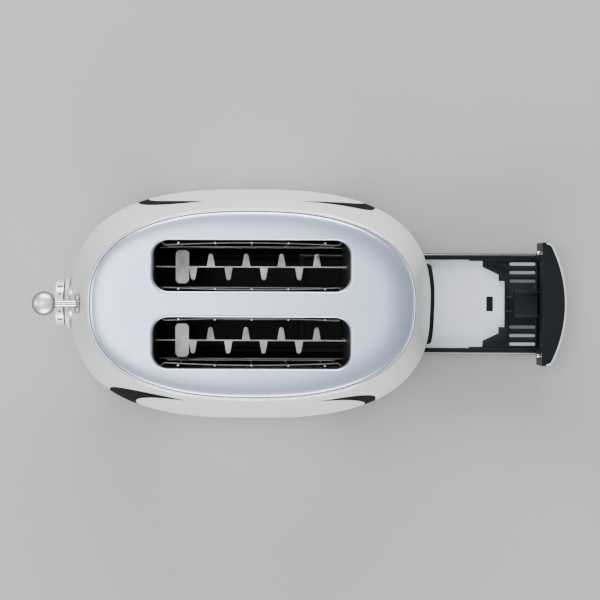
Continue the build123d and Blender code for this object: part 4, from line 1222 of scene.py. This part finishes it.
class TOASTER_OT_spring(Operator):
    """Add the lift spring's coils"""

    bl_idname = "toaster.spring"
    bl_label = "Lift spring"

    def execute(self, context):
        low, high = (Vector(corner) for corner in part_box("lift_spring"))
        middle = (low + high) / 2
        foot = Vector((middle.x, middle.y, low.z))
        height = high.z - low.z
        edge = SPRING_WIRE / 2 + SPRING_GAP
        values = {
            "Coil radius": (high.y - low.y - SPRING_WIRE) / 2,
            "Height": height - 2 * edge,
            "Turns": SPRING_TURNS,
            "Wire radius": SPRING_WIRE / 2,
            "Material": heated_steel("spring steel", *SPRING_STEEL),
        }
        start = edge_mesh("lift_spring", [[foot + Vector((0, 0, edge))]])
        mesh = grown("lift_spring", start, spring_tree(), values)
        coils = add_piece("lift_spring_coils", mesh, None, ["lift_spring"])
        travel = next(row["range_m"][1] for row in JOINTS if row["name"] == "lever_slide")
        1 - travel / height
        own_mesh(coils)
        return {"FINISHED"}


class TOASTER_OT_chamber(Operator):
    """Add the toasting chamber: bulkheads, reflectors and heaters"""

    bl_idname = "toaster.chamber"
    bl_label = "Toasting chamber"

    def execute(self, context):
        wires = context.scene.toaster_wires
        dark = heated_steel("chamber steel", *CHAMBER_STEEL, 0.5)
        paint(dark, "front_bulkhead", "rear_bulkhead")
        paint(dark, "side_reflector_left", "side_reflector_right")
        mica = mica_board("mica")
        tree = row_tree()
        ribbon = heated_steel("heater ribbon", *RIBBON_STEEL, 0.4)
        values = {"Count": RIBBON_TURNS, "Pitch": RIBBON_PITCH, "Material": ribbon}
        for y, place in ((HEATER_Y, "left"), (0, "centre"), (-HEATER_Y, "right")):
            paint(mica, "heater_board_" + place)
            turn = ribbon_turn(y, wires.ribbon_width)
            mesh = grown("heater_ribbon_" + place, turn, tree, values)
            add_piece(f"heater_ribbon_{place}_turns", mesh, None, ["heater_ribbon_" + place])
        return {"FINISHED"}


class TOASTER_OT_controls(Operator):
    """Add the control board, timer, magnet and buttons"""

    bl_idname = "toaster.controls"
    bl_label = "Controls"

    def execute(self, context):
        finish = context.scene.toaster_finish
        black = gloss_moulding("button black", finish.black, 0.2)
        for place in ("left", "centre", "right"):
            smooth_skin("button_" + place, black, BUTTON_CREASE)
        pale = grained_moulding("pale moulding", PALE_MOULDING, 0.5)
        paint(circuit_board("circuit board"), "control_board")
        paint(pale, "dial_timer", "contact_block", "button_switches")
        paint(zinc_sheet("yoke"), "magnet_yoke")
        paint(wound_copper("copper winding"), "magnet_coil")
        return {"FINISHED"}


class TOASTER_OT_tray(Operator):
    """Add the crumb tray, its grille, latch and curved front"""

    bl_idname = "toaster.tray"
    bl_label = "Crumb tray"

    def execute(self, context):
        finish = context.scene.toaster_finish
        black = grained_moulding("tray black", finish.black, 0.4)
        plate = plate_metal("crumb plate", finish.plate)
        rail = grained_moulding("rail black", finish.black, 0.4, glossy_from=TRAY_RAIL_Y)
        rounded_block("tray_frame", rail, 0.4 * MM)
        paint(plate, "crumb_plate")
        rounded_block("tray_deck", black, 0.3 * MM)
        rounded_block("latch_box", black, 0.3 * MM)
        smooth_skin("tray_front", black, FINE_CREASE)
        cover = satin_metal("front cover", finish.bright, 0.3, metal=0.3)
        smooth_skin("tray_front_skin", cover, FINE_CREASE)
        smooth_skin("tray_pins", polished_metal("pins", finish.bright))
        rounded_block("rear_panel", black, 0.3 * MM)
        return {"FINISHED"}


class TOASTER_OT_base(Operator):
    """Add the base moulding with its feet, screws and cord outlet"""

    bl_idname = "toaster.base"
    bl_label = "Base"

    def execute(self, context):
        finish = context.scene.toaster_finish
        smooth_skin("plinth", grained_moulding("base black", finish.black, 0.45), FINE_CREASE)
        smooth_skin("feet", rubber("foot rubber"), FINE_CREASE)
        smooth_skin("cord_outlet", rubber("outlet rubber"), FINE_CREASE)
        smooth_skin("base_screws", zinc_sheet("screw zinc"), FINE_CREASE)
        return {"FINISHED"}


def add_light(name, place, target, size, power, colour):
    """Large soft light at a place, aimed at a point."""
    light = bpy.data.lights.new(name, "AREA")
    light.shape = "RECTANGLE"
    light.size, light.size_y = size
    light.energy = power
    light.color = colour
    holder = linked(name, light)
    holder.location = place
    direction = Vector(target) - holder.location
    holder.rotation_euler = direction.to_track_quat("-Z", "Y").to_euler()


class TOASTER_OT_stage(Operator):
    """Add the plain floor, the soft lights and the camera above"""

    bl_idname = "toaster.stage"
    bl_label = "Stage"

    def execute(self, context):
        stage = context.scene.toaster_stage
        shape = bmesh.new()
        bmesh.ops.create_grid(shape, x_segments=1, y_segments=1, size=FLOOR_REACH)
        mesh = shape_mesh("floor", shape)
        paper = Finish("plain floor")
        cloud = paper.noise(3.0, 2.0)
        mesh.materials.append(
            paper.set(
                base_color=cloud.blend(shade(stage.floor, 0.98), shade(stage.floor, 1.02)),
                roughness=0.8,
            )
        )
        floor = linked("floor", mesh)
        for name, (place, target, size, setting, colour) in LIGHTS.items():
            add_light(name, place, target, size, getattr(stage, setting), colour)
        world = bpy.data.worlds.new("studio")
        world.use_nodes = True
        background = world.node_tree.nodes["Background"]
        background.inputs["Color"].default_value = SKY_COLOUR
        background.inputs["Strength"].default_value = stage.sky
        context.scene.world = world
        camera = bpy.data.cameras.new("camera")
        camera.sensor_width = CAMERA_SENSOR
        camera.lens = CAMERA_LENS
        camera.shift_x, camera.shift_y = CAMERA_SHIFT
        holder = linked("camera", camera)
        holder.location = (*CAMERA_PLACE, stage.camera_height)
        holder.rotation_euler = (0, 0, CAMERA_ROLL)
        context.scene.camera = holder
        return {"FINISHED"}


class TOASTER_PT_panel(Panel):
    """Sidebar panel with the toaster's pieces and settings"""

    bl_idname = "TOASTER_PT_panel"
    bl_label = "Toaster"
    bl_space_type = "VIEW_3D"
    bl_region_type = "UI"
    bl_category = "Toaster"

    def draw(self, context):
        layout = self.layout
        for operator in OPERATORS:
            layout.operator(operator.bl_idname)
        for setting in SETTINGS:
            group = getattr(context.scene, setting)
            box = layout.box()
            for name in group.bl_rna.properties.keys():
                if name not in {"rna_type", "name"}:
                    box.prop(group, name)


SETTINGS = {
    "toaster_finish": ToasterFinish,
    "toaster_wires": ToasterWires,
    "toaster_marks": ToasterMarks,
    "toaster_stage": ToasterStage,
}

OPERATORS = (
    TOASTER_OT_shell,
    TOASTER_OT_panel,
    TOASTER_OT_lever,
    TOASTER_OT_dial,
    TOASTER_OT_guides,
    TOASTER_OT_racks,
    TOASTER_OT_spring,
    TOASTER_OT_chamber,
    TOASTER_OT_controls,
    TOASTER_OT_tray,
    TOASTER_OT_base,
    TOASTER_OT_stage,
)

CLASSES = (*SETTINGS.values(), *OPERATORS, TOASTER_PT_panel)


def register():
    for member in CLASSES:
        bpy.utils.register_class(member)
    for name, group in SETTINGS.items():
        setattr(bpy.types.Scene, name, PointerProperty(type=group))


def unregister():
    for name in SETTINGS:
        delattr(bpy.types.Scene, name)
    for member in reversed(CLASSES):
        bpy.utils.unregister_class(member)


def main():
    """Builds the whole toaster."""
    register()
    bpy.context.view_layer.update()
    for operator in OPERATORS:
        family, name = operator.bl_idname.split(".")
        getattr(getattr(bpy.ops, family), name)()


if __name__ == "__main__":
    main()
